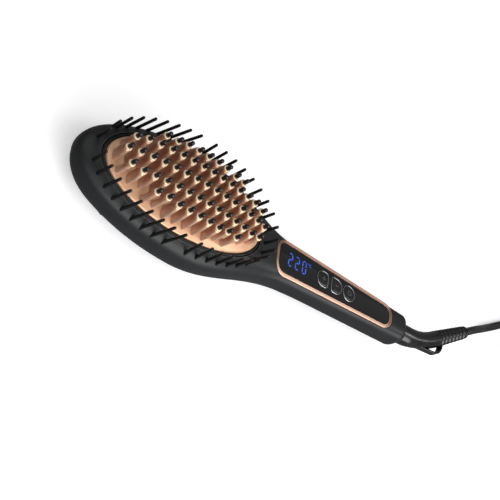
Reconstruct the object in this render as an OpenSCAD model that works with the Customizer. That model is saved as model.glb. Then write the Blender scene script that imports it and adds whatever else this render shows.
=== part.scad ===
// Heated straightening brush: an egg-shaped head that carries an arched plate with rows of fins,
// a slim handle with a control panel, and a cord that swivels out of the handle's end.
// Millimetres, +Z up. It lies on its back, with the head's tip at -X and the cord at +X.
// The origin is under the middle of the housing, on the surface that it lies on.

/* [Housing] */
// Length of the housing from the head's tip to the handle's end
body_length = 276; // [262:1:300]
// Width of the head at its widest
head_width = 71.6; // [70:0.2:78]
// Distance from the head's tip to its widest place
head_back = 82.5; // [81:0.5:88]
// Height of the head's crown
head_height = 37.1; // [36:0.1:40]
// Radius of the arch of the head's crown, along the brush
head_arch_r = 265; // [255:5:320]
// Length of the blend from the head's widest place to the slim handle
neck_length = 90; // [84:1:96]
// Width of the handle where the neck ends
handle_width = 28.8; // [28:0.2:34]
// Width of the handle where its end starts to round over
handle_end_width = 20; // [19.6:0.2:24]
// Height of the top of the handle
handle_top = 28.6; // [27.8:0.1:30]
// Height of the underside of the handle
handle_bottom = 8.5; // [7.5:0.1:9]
// Wall of the housing
wall = 2; // [1.6:0.1:2.4]
// Height of the seam between the front shell and the rear cover
seam_z = 12; // [11.6:0.1:12.4]

/* [Heated plate] */
// Length of the plate
plate_length = 118.8; // [112:0.4:120]
// Width of the plate
plate_width = 55.6; // [53:0.2:56.4]
// Thickness of the plate
plate_t = 3; // [2.4:0.1:3.6]
// Height of the plate's crown
plate_z = 38.4; // [38:0.1:40]
// Width of the insulating ring round the plate
ring_w = 2; // [1.6:0.1:2.2]

/* [Fins] */
// Distance from fin to fin in a row
fin_pitch = 7.6; // [7.2:0.1:7.8]
// Distance from the middle row to the rows beside it
row_gap_inner = 10.3; // [9.6:0.1:10.6]
// Distance from the middle row to the outer rows
row_gap_outer = 19.6; // [19:0.1:20.4]
// Width of a fin across the brush at its foot
fin_w = 7.6; // [6.4:0.1:8.2]
// Thickness of a fin along the brush
fin_t = 2.7; // [2.2:0.1:3]
// Diameter of the collar at the top of a fin
collar_d = 3.4; // [3:0.1:3.8]
// Height of the fins' cool tips at the crown
tip_z = 53.4; // [52:0.1:56]
// Length of a cool tip above its collar
pin_length = 3.6; // [3:0.1:4.4]
// Diameter of a cool tip
pin_d = 1.8; // [1.5:0.1:2.2]

/* [Bristles] */
// Diameter of a bristle
bristle_d = 1.5; // [1.2:0.1:1.8]
// Distance from bristle to bristle along the rim
bristle_pitch = 8; // [7.6:0.1:8.2]
// Depth that a bristle sits in the rim
bristle_seat = 5; // [4:0.5:6]

/* [Control panel] */
// Width of the trim ring at its neck end
trim_width = 24.6; // [22:0.2:25]
// Width of the trim ring at the handle's end
trim_end_width = 17.6; // [16.6:0.2:18]
// Width of the trim ring's band
trim_band = 2.5; // [2:0.1:3]
// Height of the panel's crown
panel_z = 29.6; // [29.2:0.1:30.4]
// Diameter of the round ends of the buttons
button_d = 9.2; // [8.4:0.1:9.6]
// Distance from button to button
button_pitch = 11.9; // [11.4:0.1:12.6]
// Travel of a button
button_travel = 0.6; // [0.4:0.1:0.8]

/* [Cord] */
// Height of the swivel's axis
swivel_z = 19.5; // [19.3:0.1:19.8]
// Diameter of the cord
cord_d = 5.6; // [5:0.1:6]
// Turns of the unseen length's coil
coil_turns = 8.25; // [6.25:1:9.25]

/* [Hidden] */
$fn = 48;

// Clearances
free_gap = 0.3;     // between parts that move
fit_gap = 0.1;      // between parts that only fit
lift = 0.01;        // reach of a cut past the face that it starts from

// Lengthwise places of the housing
tip_x = -body_length / 2;
end_x = body_length / 2;
head_x = tip_x + head_back;
neck_x = head_x + neck_length;
tip_round = 22;
end_round = 8;
round_x = end_x - end_round;
head_mid = 21.7;    // height of the head's widest level
handle_mid = 17.6;  // height of the handle's widest level
pad_depth = 1;      // how much of the belly is taken off flat, to stand on
belly_x = head_x + 12.5;
belly_r_tip = 600;
belly_r_neck = 372;
crown_x = head_x - 3.7;

// ---- Shape of the housing ----
function smooth_max(a, b, k) = (a + b + sqrt((a - b) * (a - b) + k * k)) / 2;
function smooth_min(a, b, k) = (a + b - sqrt((a - b) * (a - b) + k * k)) / 2;
function clamp01(v) = min(1, max(0, v));
function mix(a, b, u) = a + (b - a) * u;
function power(v, e) = v <= 0 ? 0 : pow(v, e);
// 1 over the head, down to 0 where the neck ends
function headness(x) = x < head_x ? 1 : (1 + cos(180 * clamp01((x - head_x) / neck_length))) / 2;
// 1 along the piece, down to 0 where it closes over a length r
function closing(u, r, n) = power(1 - power(clamp01(u / r), n), 1 / n);
function slim_half(x) = mix(handle_width, handle_end_width, clamp01((x - neck_x) / (round_x - neck_x))) / 2;
function half_width(x) = mix(slim_half(x), head_width / 2, headness(x));
function crown(x) = smooth_max(head_height - pow(x - crown_x, 2) / (2 * head_arch_r),
    mix(handle_top, handle_top + 0.9, clamp01((x - neck_x) / (round_x - neck_x))), 2);
function belly(x) = smooth_min(pow(x - belly_x, 2) / (2 * (x < belly_x ? belly_r_tip : belly_r_neck)) - pad_depth,
    handle_bottom, 1.5);
function widest_z(x) = mix(handle_mid, head_mid, headness(x));

function side_close(x) = x < head_x ? sqrt(max(0, 1 - pow((head_x - x) / head_back, 2)))
    : closing(x - round_x, end_round, 2.5);
function height_close(x) = closing(tip_x + tip_round - x, tip_round, 2.2) * closing(x - round_x, end_round, 2.5);

// One ring of the housing's skin, taken in by d
section_sides = 32;
function section(x, d) = let (
        s = x * body_length / (body_length - 2 * d),
        w = (half_width(s) - d) * side_close(s),
        m = widest_z(s),
        up = (crown(s) - m - d) * height_close(s),
        down = (m - belly(s) - d) * height_close(s),
        n_up = mix(3.4, 2.4, headness(s)))
    [for (i = [0:section_sides - 1]) let (
        a = 360 * (i + 0.5) / section_sides,
        n = sin(a) > 0 ? n_up : 2.46)
        [x, w * sign(cos(a)) * power(abs(cos(a)), 2 / n),
            max(d, m + (sin(a) > 0 ? up : down) * sign(sin(a)) * power(abs(sin(a)), 2 / n))]];

// Places of the rings, closer where the ends round over
function stations() = concat(
    [for (a = [8:8:88]) head_x - head_back * cos(a)],
    [for (i = [0:17]) mix(head_x, round_x, i / 18)],
    [for (a = [0:15:75]) round_x + end_round * sin(a)],
    [round_x + end_round * sin(84)]);

// A closed skin through rings, with a point at each end
module skin(rings, first, last) {
    n = len(rings[0]);
    m = len(rings);
    points = concat([first], [for (r = rings) each r], [last]);
    faces = concat(
        [for (i = [0:n - 1]) [0, 1 + i, 1 + (i + 1) % n]],
        [for (j = [0:m - 2]) for (i = [0:n - 1]) let (a = 1 + j * n + i, b = 1 + j * n + (i + 1) % n)
            each [[a, a + n, b], [b, a + n, b + n]]],
        [for (i = [0:n - 1]) [1 + m * n, 1 + (m - 1) * n + (i + 1) % n, 1 + (m - 1) * n + i]]);
    polyhedron(points, faces);
}

module housing(d) {
    shrink = (body_length - 2 * d) / body_length;
    skin([for (x = stations()) section(x * shrink, d)],
        [tip_x + d, 0, widest_z(tip_x)], [end_x - d, 0, widest_z(end_x)]);
}

module half_space(z, up) {
    translate([tip_x - 20, -head_width, up ? z : z - 100])
        cube([body_length + 40, 2 * head_width, 100]);
}

// ---- The arched plate ----
plate_x = head_x - 9.6;
plate_a = plate_length / 2;
plate_b = plate_width / 2;
plate_r = 266;          // arch along the brush
plate_cross_r = 65.5;   // crown across it
plate_crown_x = plate_x + 5;
skirt_z = 27;           // underside of the plate's rim, and top of the ring's shelf
ledge_z = 25;           // top of the housing's ledge
ledge_t = 3;
ring_a = plate_a + fit_gap + ring_w;
ring_b = plate_b + fit_gap + ring_w;

// The same curve at any size: an ellipse of half axes a and b, as points
function oval(a, b, n = 96) = [for (i = [0:n - 1]) [a * cos(360 * i / n), b * sin(360 * i / n)]];
module oval_rod(a, b, z0, z1) {
    translate([plate_x, 0, z0]) linear_extrude(z1 - z0) polygon(oval(a, b));
}

// Everything from depth d to depth d + t under a surface that arches along X and crowns across Y
module arched_layer(x, z, r, cross_r, d, t) {
    half_angle = 17;
    translate([x, 0, z - r]) rotate([90, 0, 0]) rotate([0, 0, 90 - half_angle])
        rotate_extrude(angle = 2 * half_angle, $fn = 720) intersection() {
            translate([r - cross_r, 0]) circle(r = cross_r - d, $fn = 240);
            translate([r - t - d, -40]) square([t + d, 80]);
        }
}

module under_plate(d) {
    arched_layer(plate_crown_x, plate_z, plate_r, plate_cross_r, d, 24);
}

heater_x = 24;          // from the plate's middle to each heater
heater_size = [34, 18, 3];
heater_top = 28.5;
heater_reach = heater_x + heater_size[0] / 2;
pillar_x = 44;
pillar_d = 5;
clamp_t = 1.2;
clamp_w = 20;
clamp_tab_w = 8;
clamp_z = heater_top - heater_size[2] - clamp_t;
clamp_screw_d = 2.4;
clamp_screw_reach = 4.3; // of the screws into the pillars

module on_pillars(z) {
    for (s = [-1:1]) translate([plate_x + s * pillar_x, 0, z]) children();
}

module heating_plate() color([0.72, 0.46, 0.33]) difference() {
    union() {
        difference() {
            intersection() {
                under_plate(0);
                oval_rod(plate_a, plate_b, skirt_z, plate_z + 5);
            }
            intersection() {
                under_plate(plate_t);
                oval_rod(plate_a - 1.8, plate_b - 1.8, skirt_z - 1, plate_z + 5);
            }
        }
        intersection() {
            under_plate(plate_t / 2);
            for (s = [-1, 1]) translate([plate_x + s * heater_x, 0, heater_top])
                translate([-heater_size[0] / 2, -heater_size[1] / 2, 0]) cube([heater_size[0], heater_size[1], 20]);
        }
        intersection() {
            under_plate(plate_t / 2);
            on_pillars(clamp_z + clamp_t) cylinder(h = 20, d = pillar_d);
        }
    }
    on_pillars(clamp_z) cylinder(h = clamp_t + clamp_screw_reach + 0.5, d = clamp_screw_d + 2 * fit_gap, $fn = 24);
}

// ---- Fins and their cool tips ----
tip_r = 218;                        // arch of the cool tips
tip_cross = 178;                    // their crown, twice its radius across the brush
tip_x0 = plate_x - 2.3;             // middle of their arch
fin_step = fin_pitch / tip_r * 180 / PI;
middle_fin = 6.85;                  // fin that stands upright, counted along the middle row
fin_lean = 0.4;                     // share of the arch's angle that a fin leans by
row_y = [-row_gap_outer, -row_gap_inner, 0, row_gap_inner, row_gap_outer];
row_first = [3, 0.5, 0, 0.5, 3];
row_count = [9, 14, 15, 14, 9];
// How far the last fins of a row are drawn in towards the middle
row_inset = [1.3, 1.7, 0, 1.7, 1.3];
row_narrow = [2, 1, 0, 1, 2];       // slender fins at each end of a row
pin_shank_d = 1.2;
pin_shank = 3;
fin_drop = 4.6;                     // from the collar's top to where the shoulders spread

function at_end(row, k) = k < row_narrow[row] || k >= row_count[row] - row_narrow[row];
function fin_angle(row, k) = (row_first[row] + k - middle_fin) * fin_step;
function fin_y(row, k) = row_y[row] - (at_end(row, k) ? sign(row_y[row]) * row_inset[row] : 0);
function fin_top(row, k) = let (a = fin_angle(row, k), y = fin_y(row, k))
    [tip_x0 + tip_r * sin(a), y, tip_z - tip_r * (1 - cos(a)) - y * y / tip_cross];

module on_fins(row) {
    for (k = [0:row_count[row] - 1]) translate(fin_top(row, k))
        rotate([0, fin_lean * fin_angle(row, k), 0]) {
            $slender = at_end(row, k);
            children();
        }
}

// Outline of a fin across the brush: round shoulders that narrow to the collar
function fin_outline(w, top, spread, foot) = let (c = collar_d / 2 - 0.25) concat(
    [[-w, foot]], [for (u = [0:0.125:1]) [-mix(w, c, 1 - sqrt(1 - u * u)), mix(-spread, -top, u)]],
    [for (u = [1:-0.125:0]) [mix(w, c, 1 - sqrt(1 - u * u)), mix(-spread, -top, u)]], [[w, foot]]);

module fin() {
    w = ($slender ? 0.62 : 1) * fin_w / 2;
    translate([-fin_t / 2, 0, 0]) rotate([90, 0, 90]) linear_extrude(fin_t)
        polygon(fin_outline(w, pin_length + 1.2, pin_length + fin_drop + 3.4, -26));
    translate([0, 0, -pin_length - fin_drop]) cylinder(h = fin_drop, d = collar_d, $fn = 32);
}

module fin_row(row) color([0.78, 0.52, 0.38]) difference() {
    on_fins(row) fin();
    under_plate(0);
    translate([plate_x - 90, -60, 0]) cube([180, 120, skirt_z - 1]);
    on_fins(row) translate([0, 0, -pin_length - pin_shank])
        cylinder(h = pin_shank + 1, d = pin_shank_d + 2 * fit_gap, $fn = 20);
}

module pin_row(row) color([0.06, 0.06, 0.06])
    on_fins(row) {
        translate([0, 0, -pin_length]) rotate_extrude($fn = 20) {
            square([pin_d / 2, pin_length - pin_d / 2]);
            intersection() {
                translate([0, pin_length - pin_d / 2]) circle(d = pin_d);
                square([pin_d, pin_length + 1]);
            }
        }
        translate([0, 0, -pin_length - pin_shank]) cylinder(h = pin_shank, d = pin_shank_d, $fn = 20);
    }

// ---- Insulating ring ----
module plate_ring() color([0.13, 0.13, 0.13]) difference() {
    intersection() {
        arched_layer(crown_x, head_height + 0.3, head_arch_r, 46, 0, 30);
        oval_rod(ring_a, ring_b, ledge_z, plate_z);
    }
    oval_rod(plate_a + fit_gap, plate_b + fit_gap, skirt_z, plate_z + 1);
    oval_rod(plate_a - 3, plate_b - 3, ledge_z - 1, skirt_z + 1);
    difference() {
        arched_layer(crown_x, head_height + 0.3, head_arch_r, 46, -4, 4.7);
        oval_rod(ring_a - 0.7, ring_b - 0.7, 0, 60);
    }
}

// ---- Bristles round the rim ----
foot_a = 65.5;
foot_b = 33.2;
top_a = 67;
top_b = 33.6;
bristle_top = 45.7;
bristle_arch = 950;     // twice the radius of the arch of the bristles' tips
bristle_first = 7.8;    // from the middle line to the first bristle, along the rim
bristles_in_group = 9;

// Angle on an ellipse after a length along it, from the end at angle 0
rim_steps = 90;
function step_length(a, b, i) = norm([a * (cos(i + 1) - cos(i)), b * (sin(i + 1) - sin(i))]);
function rim_table(a, b, i = 0, s = 0, t = []) = i > rim_steps ? t
    : rim_table(a, b, i + 1, s + step_length(a, b, i), concat(t, [[s, i]]));
foot_table = rim_table(foot_a, foot_b);
top_table = rim_table(top_a, top_b);
function foot_angle(k) = lookup(bristle_first + k * bristle_pitch, foot_table);
function top_angle(k) = lookup(bristle_first + 0.2 + k * bristle_pitch * 1.045, top_table);
function rim_z(x, y) = let (w = half_width(x), m = widest_z(x))
    m + (crown(x) - m) * power(1 - power(abs(y) / w, 2.4), 1 / 2.4);
// sx is -1 towards the tip and 1 towards the neck, sy is -1 on the near side and 1 on the far side
function bristle_foot(sx, sy, a) = let (x = plate_x + sx * foot_a * cos(a), y = foot_b * sin(a))
    [x, sy * y, rim_z(x, y)];
function bristle_end(sx, sy, a) = let (x = plate_x + sx * top_a * cos(a))
    [x, sy * top_b * sin(a), bristle_top - pow(x - plate_x, 2) / bristle_arch];

// Puts its children at a bristle's foot, with +Z along the bristle
module along(from, to) {
    d = to - from;
    $reach = norm(d);
    translate(from) rotate([0, acos(d[2] / $reach), atan2(d[1], d[0])]) children();
}
module on_bristles(sx, sy) {
    for (k = [0:bristles_in_group - 1])
        along(bristle_foot(sx, sy, foot_angle(k)), bristle_end(sx, sy, top_angle(k))) children();
}
module on_neck_bristle() {
    along(bristle_foot(1, 0, 0), bristle_end(1, 0, 0)) children();
}
module bristle() {
    translate([0, 0, -bristle_seat]) rotate_extrude($fn = 20) {
        square([bristle_d / 2, $reach + bristle_seat - bristle_d / 2]);
        intersection() {
            translate([0, $reach + bristle_seat - bristle_d / 2]) circle(d = bristle_d);
            square([bristle_d, $reach + bristle_seat + 1]);
        }
    }
}
module bristle_hole() {
    translate([0, 0, -bristle_seat]) cylinder(h = bristle_seat + 5, d = bristle_d + 2 * fit_gap, $fn = 20);
    translate([0, 0, -0.5]) cylinder(h = 5, d = bristle_d + 1, $fn = 20);
}
module bristle_group(sx, sy) color([0.05, 0.05, 0.05]) on_bristles(sx, sy) bristle();
module neck_bristle() color([0.05, 0.05, 0.05]) on_neck_bristle() bristle();

// ---- Heater under the plate ----
module heater(s) color([0.85, 0.83, 0.78])
    translate([plate_x + s * heater_x - heater_size[0] / 2, -heater_size[1] / 2, heater_top - heater_size[2]])
        cube(heater_size);

module heater_clamp() color([0.6, 0.61, 0.62]) difference() {
    translate([plate_x, 0, clamp_z]) {
        translate([-heater_reach, -clamp_w / 2, 0]) cube([2 * heater_reach, clamp_w, clamp_t]);
        translate([-pillar_x - pillar_d / 2, -clamp_tab_w / 2, 0]) cube([2 * pillar_x + pillar_d, clamp_tab_w, clamp_t]);
    }
    on_pillars(clamp_z - 1) cylinder(h = clamp_t + 2, d = clamp_screw_d + 2 * fit_gap, $fn = 24);
}

module thermistor() color([0.75, 0.35, 0.2])
    translate([plate_x - 2.5, 4.4, clamp_z + clamp_t]) cube([5, 4, 2.4]);

fuse_d = 4;
module thermal_fuse() color([0.8, 0.8, 0.82])
    translate([plate_x - 5, -6.5, clamp_z + clamp_t + fuse_d / 2]) rotate([0, 90, 0]) cylinder(h = 10, d = fuse_d);

shield_t = 1;
ledge_a = 52;
ledge_b = 20;
shield_z = ledge_z - ledge_t - shield_t;
lead_y = 5.6;
// The shield spans the opening from below, so the screws draw the plate down on to the ledge
module heat_shield() color([0.8, 0.72, 0.5]) difference() {
    union() {
        oval_rod(ledge_a + 2, ledge_b + 2, shield_z, shield_z + shield_t);
        on_pillars(shield_z) cylinder(h = clamp_z - shield_z, d = pillar_d);
    }
    for (s = [-1, 1]) translate([plate_x + heater_reach + 3, s * lead_y - 1.5, shield_z - 1]) cube([20, 3, 10]);
    on_pillars(shield_z - 1) cylinder(h = 10, d = clamp_screw_d + 2 * fit_gap, $fn = 24);
}

module clamp_screws() color([0.7, 0.7, 0.72]) on_pillars(shield_z) {
    cylinder(h = clamp_z + clamp_t + clamp_screw_reach - shield_z, d = clamp_screw_d, $fn = 24);
    translate([0, 0, -1.4]) cylinder(h = 1.4, d = 4.4, $fn = 24);
}

lead_d = 1.6;
heater_end = plate_x + heater_reach;
heater_mid = heater_top - heater_size[2] / 2;
// The leads drop from the heater, pass the shield's notches and run to the board's edge
module heater_leads() color([0.9, 0.9, 0.88])
    for (s = [-1, 1]) tube([for (p = [[heater_end, heater_mid], [heater_end + 1.5, heater_mid],
        [heater_end + 3.5, heater_mid - 1.2], [heater_end + 5, 23], [heater_end + 8, 19.5], [heater_end + 11, 18],
        [board_x0 - 6, board_mid + 1], [board_x0 - 3, board_mid], [board_x0, board_mid]]) [p[0], s * lead_y, p[1]]],
        lead_d, 8);

// ---- Control board in the handle ----
board_x0 = neck_x - 31;
board_x1 = end_x - 29;
board_w = 14.8;
board_z = 13;
board_t = 1.6;
board_top = board_z + board_t;
board_mid = board_z + board_t / 2;
button_x = [for (k = [0:2]) neck_x + 19 + k * button_pitch];
switch_h = 4;
switch_bore = 2;
plunger_d = 3.2;
stem_z = board_top + switch_h + 1.2;    // where a button's stem meets its plunger
display_x = neck_x - 14;
display_size = [22, 13];

board_posts = [[neck_x + 10.2, 0], [button_x[1] + button_pitch / 2, 0]];            // under the board's screws
board_rests = [for (x = [board_x0 + 3, board_x1 - 3]) for (s = [-1, 1]) [x, s * 5]];    // under its ends
board_screw_d = 1.8;
board_screw_length = 4.5;

module control_board() color([0.1, 0.35, 0.18]) difference() {
    translate([board_x0, -board_w / 2, board_z]) cube([board_x1 - board_x0, board_w, board_t]);
    for (p = board_posts) post(p, board_z - 1, board_top + 1, board_screw_d + 2 * fit_gap);
}

module board_screws() color([0.7, 0.7, 0.72]) for (p = board_posts) {
    post(p, board_top - board_screw_length, board_top, board_screw_d);
    post(p, board_top, board_top + 1.2, 3.4);
}

module display_module() color([0.08, 0.08, 0.09])
    translate([display_x, -display_size[1] / 2, board_top])
        cube([display_size[0], display_size[1], seat_z - board_top]);

module switch_body(k) color([0.12, 0.12, 0.13]) difference() {
    translate([button_x[k] - 3, -3, board_top]) cube([6, 6, switch_h]);
    translate([button_x[k], 0, board_top + switch_h - switch_bore])
        cylinder(h = switch_bore + 1, d = plunger_d + 2 * free_gap);
}

module plunger(k) color([0.85, 0.85, 0.8])
    translate([button_x[k], 0, board_top + switch_h - switch_bore + button_travel + free_gap])
        cylinder(h = stem_z - board_top - switch_h + switch_bore - button_travel - free_gap, d = plunger_d);

module relay() color([0.15, 0.25, 0.6])
    translate([board_x0 + 2, -6, board_top]) cube([11, 12, 7]);

module capacitor() color([0.75, 0.6, 0.15])
    translate([display_x - 3.8, -6.5, board_top]) cube([3.2, 13, 6]);

module board_fuse() color([0.8, 0.82, 0.8])
    translate([button_x[0] - 6.6, -6.5, board_top]) cube([3, 13, 3]);

// ---- Panel, trim and buttons ----
seat_z = 25;            // floor of the recess that holds the panel
seat_t = 2.4;
panel_cross_r = 42;
trim_x0 = neck_x - 22;
trim_x1 = end_x - 18.8;
trim_corner = 7;
trim_end_corner = 7.6;
trim_slope = atan((trim_width - trim_end_width) / 2 / (trim_x1 - trim_x0 - trim_corner - trim_end_corner));

function arc(x, y, r, a0, a1, n = 10) = [for (i = [0:n]) let (a = mix(a0, a1, i / n)) [x + r * cos(a), y + r * sin(a)]];
// The trim's outline, taken in by d
function trim_outline(d) = let (
        y0 = trim_width / 2 - trim_corner, y1 = trim_end_width / 2 - trim_end_corner,
        r0 = trim_corner - d, r1 = trim_end_corner - d,
        x0 = trim_x0 + trim_corner, x1 = trim_x1 - trim_end_corner)
    concat(arc(x0, y0, r0, 180, 90 - trim_slope), arc(x1, y1, r1, 90 - trim_slope, 0),
        arc(x1, -y1, r1, 0, trim_slope - 90), arc(x0, -y0, r0, trim_slope - 90, -180));

module trim_rod(d, z0, z1) {
    translate([0, 0, z0]) linear_extrude(z1 - z0) polygon(trim_outline(d));
}

// All that lies under the panel's crown, lowered by d
module under_crown(d) {
    translate([trim_x0 - 10, 0, panel_z - panel_cross_r]) rotate([0, 90, 0])
        cylinder(h = trim_x1 - trim_x0 + 20, r = panel_cross_r - d, $fn = 240);
}

module trim_ring() color([0.78, 0.53, 0.43]) difference() {
    intersection() {
        under_crown(0);
        trim_rod(0, seat_z, panel_z + 1);
    }
    trim_rod(trim_band, seat_z - 1, panel_z + 2);
    difference() {
        trim_rod(trim_band * 0.45, seat_z, panel_z + 2);
        under_crown(0.45);
    }
}

// Round button with one side cut straight: s is -1 for the left, 1 for the right, 0 for none
flat_at = 4.3;
function button_outline(s, d) = let (r = button_d / 2 + d, f = flat_at + d, c = acos(min(1, f / r)))
    s == 0 ? arc(0, 0, r, 0, 352.5, 47)
    : [for (i = [0:40]) let (a = mix(c, 360 - c, i / 40)) [s * r * cos(a), s * r * sin(a)]];
button_side = [1, -1, 0];
rim_w = 0.5;
cap_gap = 0.35;

module button_rod(k, d, z0, z1) {
    translate([button_x[k], 0, z0]) linear_extrude(z1 - z0) polygon(button_outline(button_side[k], d));
}

module control_panel() color([0.03, 0.03, 0.035]) difference() {
    intersection() {
        under_crown(0.35);
        trim_rod(trim_band + fit_gap, seat_z, panel_z + 1);
    }
    for (k = [0:2]) button_rod(k, cap_gap + rim_w + fit_gap, seat_z - 1, panel_z + 1);
}

module button_rim(k) color([0.75, 0.75, 0.77]) difference() {
    intersection() {
        button_rod(k, cap_gap + rim_w, seat_z, panel_z + 1);
        under_crown(0.05);
    }
    button_rod(k, cap_gap, seat_z - 1, panel_z + 2);
}

flange_z = seat_z - seat_t - 0.2;
module button(k) color([0.12, 0.12, 0.13]) {
    intersection() {
        button_rod(k, 0, flange_z - lift, panel_z + 1);
        under_crown(-0.25);
    }
    button_rod(k, 0.9, flange_z - 0.8, flange_z);
    translate([button_x[k], 0, stem_z]) cylinder(h = flange_z - 0.4 - stem_z, d = 5);
}

// ---- Housing shells ----
post_d = 6;
rest_d = 4;             // of the posts that the board stands on
post_angle = 50;
cover_screw_d = 2.2;
screw_head_d = 4.6;
screw_head_h = 1.8;
screw_length = 9;
end_screw_length = 3.9;
neck_post_x = neck_x - 36.5;
head_posts = [for (sx = [-1, 1]) for (sy = [-1, 1])
    [plate_x + sx * (ledge_a + 8) * cos(post_angle), sy * (ledge_b + 8) * sin(post_angle)]];
end_screw = [end_x - 8, 0];
block_x = end_x - 12;       // inner face of the handle's solid end
neck_d = 9;                 // neck of the swivel's hub
root_d = 13.8;              // root of the strain relief
root_x = end_x - 3.7;

module post(p, z0, z1, d) {
    translate([p[0], p[1], z0]) cylinder(h = z1 - z0, d = d, $fn = 32);
}

// The handle's solid end
module end_block() {
    translate([block_x, -head_width / 2, 0]) cube([end_x - block_x, head_width, 2 * handle_top]);
}

// What stays solid inside the front shell
module front_ribs() {
    difference() {
        oval_rod(ring_a + 12, ring_b + 12, ledge_z - ledge_t, 60);
        oval_rod(ring_a + fit_gap, ring_b + fit_gap, ledge_z, 61);
        oval_rod(ledge_a, ledge_b, 0, 61);
    }
    trim_rod(-1.4, seat_z - seat_t, 40);
    end_block();
    for (p = head_posts) post(p, 0, ledge_z, post_d);
    post([neck_post_x, 0], 0, 40, post_d);
}

module swivel_bore() {
    translate([block_x - 1, 0, swivel_z]) rotate([0, 90, 0]) cylinder(h = 30, d = neck_d + 2 * free_gap);
    translate([root_x - free_gap, 0, swivel_z]) rotate([0, 90, 0]) cylinder(h = 30, d = root_d + 2 * free_gap);
}

module front_shell() color([0.16, 0.16, 0.17]) difference() {
    intersection() {
        housing(0);
        half_space(seam_z, true);
    }
    difference() {
        housing(wall);
        front_ribs();
    }
    oval_rod(ring_a + fit_gap, ring_b + fit_gap, ledge_z, 60);
    oval_rod(ledge_a, ledge_b, 0, 61);
    trim_rod(-fit_gap, seat_z, 50);
    for (k = [0:2]) button_rod(k, free_gap + 0.1, 10, 50);
    translate([display_x - 0.5, -display_size[1] / 2 - 0.5, 10])
        cube([display_size[0] + 1, display_size[1] + 1, 30]);
    for (sx = [-1, 1]) for (sy = [-1, 1]) on_bristles(sx, sy) bristle_hole();
    on_neck_bristle() bristle_hole();
    for (p = concat(head_posts, [[neck_post_x, 0]])) post(p, 0, seam_z + screw_length - 2.5, cover_screw_d + 2 * fit_gap);
    post(end_screw, 0, swivel_z - neck_d / 2, cover_screw_d + 2 * fit_gap);
    swivel_bore();
}

// A screw up through the rear cover, with its head seated a depth below the seam
module cover_screw(p, deep, length) {
    post(p, seam_z - deep, seam_z - deep + length, cover_screw_d);
    post(p, seam_z - deep - screw_head_h, seam_z - deep, screw_head_d);
}
head_screw_deep = 2.5;
end_screw_deep = 1.5;
module head_screws() color([0.3, 0.3, 0.32])
    for (p = head_posts) cover_screw(p, head_screw_deep, screw_length);
module handle_screws() color([0.3, 0.3, 0.32]) {
    cover_screw([neck_post_x, 0], head_screw_deep, screw_length);
    cover_screw(end_screw, end_screw_deep, end_screw_length);
}
module screw_hole(p, deep) {
    post(p, 0, seam_z + 1, cover_screw_d + 2 * fit_gap);
    post(p, -1, seam_z - deep, screw_head_d + 2 * fit_gap);
}

module rear_cover() color([0.15, 0.15, 0.16]) difference() {
    union() {
        difference() {
            intersection() {
                housing(0);
                half_space(seam_z, false);
            }
            difference() {
                housing(wall);
                for (p = head_posts) post(p, 0, 40, post_d + 2);
                post([neck_post_x, 0], 0, 40, post_d + 2);
                end_block();
            }
        }
        for (p = concat(board_posts, board_rests)) post(p, belly(p[0]) + wall / 2, board_z, rest_d);
    }
    for (p = concat(head_posts, [[neck_post_x, 0]])) screw_hole(p, head_screw_deep);
    screw_hole(end_screw, end_screw_deep);
    for (p = board_posts) post(p, board_top - board_screw_length, board_z + 1, board_screw_d);
}

// ---- Swivel ----
ring_x = [block_x - 10.4, block_x - 6.4];
spindle_length = 13;
spindle_d = 3.6;
slip_d = 5.6;
module cord_hub() color([0.2, 0.2, 0.21]) translate([0, 0, swivel_z]) rotate([0, 90, 0]) {
    translate([0, 0, block_x - spindle_length]) cylinder(h = spindle_length, d = spindle_d);
    translate([0, 0, block_x - free_gap - 2]) cylinder(h = 2, d = 12.4);
    translate([0, 0, block_x - free_gap - 1]) cylinder(h = root_x + 1.3 - block_x, d = neck_d);
}
module slip_rings() color([0.85, 0.68, 0.3])
    for (x = ring_x) translate([x - 1.25, 0, swivel_z]) rotate([0, 90, 0]) difference() {
        cylinder(h = 2.5, d = slip_d);
        translate([0, 0, -1]) cylinder(h = 5, d = spindle_d);
    }
finger_t = 0.4;
finger_w = 1.4;
module contact_fingers() color([0.85, 0.68, 0.3])
    for (i = [0, 1]) translate([board_x1 - 4, (i - 0.5) * 2.6 - finger_w / 2, board_top]) {
        length = ring_x[i] + 1 - (board_x1 - 4);
        cube([length, finger_w, finger_t]);
        translate([length - 2, 0, 0]) cube([2, finger_w, swivel_z - slip_d / 2 - fit_gap - board_top]);
    }

// ---- Strain relief with its hanging loop ----
bend_r = 70;
bend_angle = 30;
relief_reach = 67;      // of the strain relief past the handle's end
relief_end = end_x + relief_reach;
ribs = 8;
rib_deep = 0.7;
bend_out = [end_x + bend_r * sin(bend_angle), bend_r * (1 - cos(bend_angle))];
relief_length = bend_r * bend_angle * PI / 180 + (relief_end - bend_out[0]) / cos(bend_angle);
// Middle line after a length s past the handle's end, as place and heading
function relief_at(s) = s < 0 ? [[end_x + s, 0], 0]
    : let (a = min(bend_angle, s / bend_r * 180 / PI), on = s - bend_r * a * PI / 180)
        [[end_x + bend_r * sin(a) + on * cos(a), bend_r * (1 - cos(a)) + on * sin(a)], a];
rib_start = 41;
rib_pitch = (relief_length - 1 - rib_start) / ribs;
function relief_radius(s) = s < 6 ? root_d / 2 : lookup(s, [[6, root_d / 2], [12, 6.3], [18, 5.7], [26, 5.2],
    [36, 5], [rib_start, 4.9], [relief_length, 4.1]]);
function relief_ring(s, r) = let (p = relief_at(s), c = cos(p[1]), n = sin(p[1]))
    [for (i = [0:15]) let (a = 360 * (i + 0.5) / 16, u = r * cos(a))
        [p[0][0] - n * u, p[0][1] + c * u, swivel_z + r * sin(a)]];
loop_t = 2.2;           // thickness of the hanging loop's band
loop_h = 5;
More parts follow.
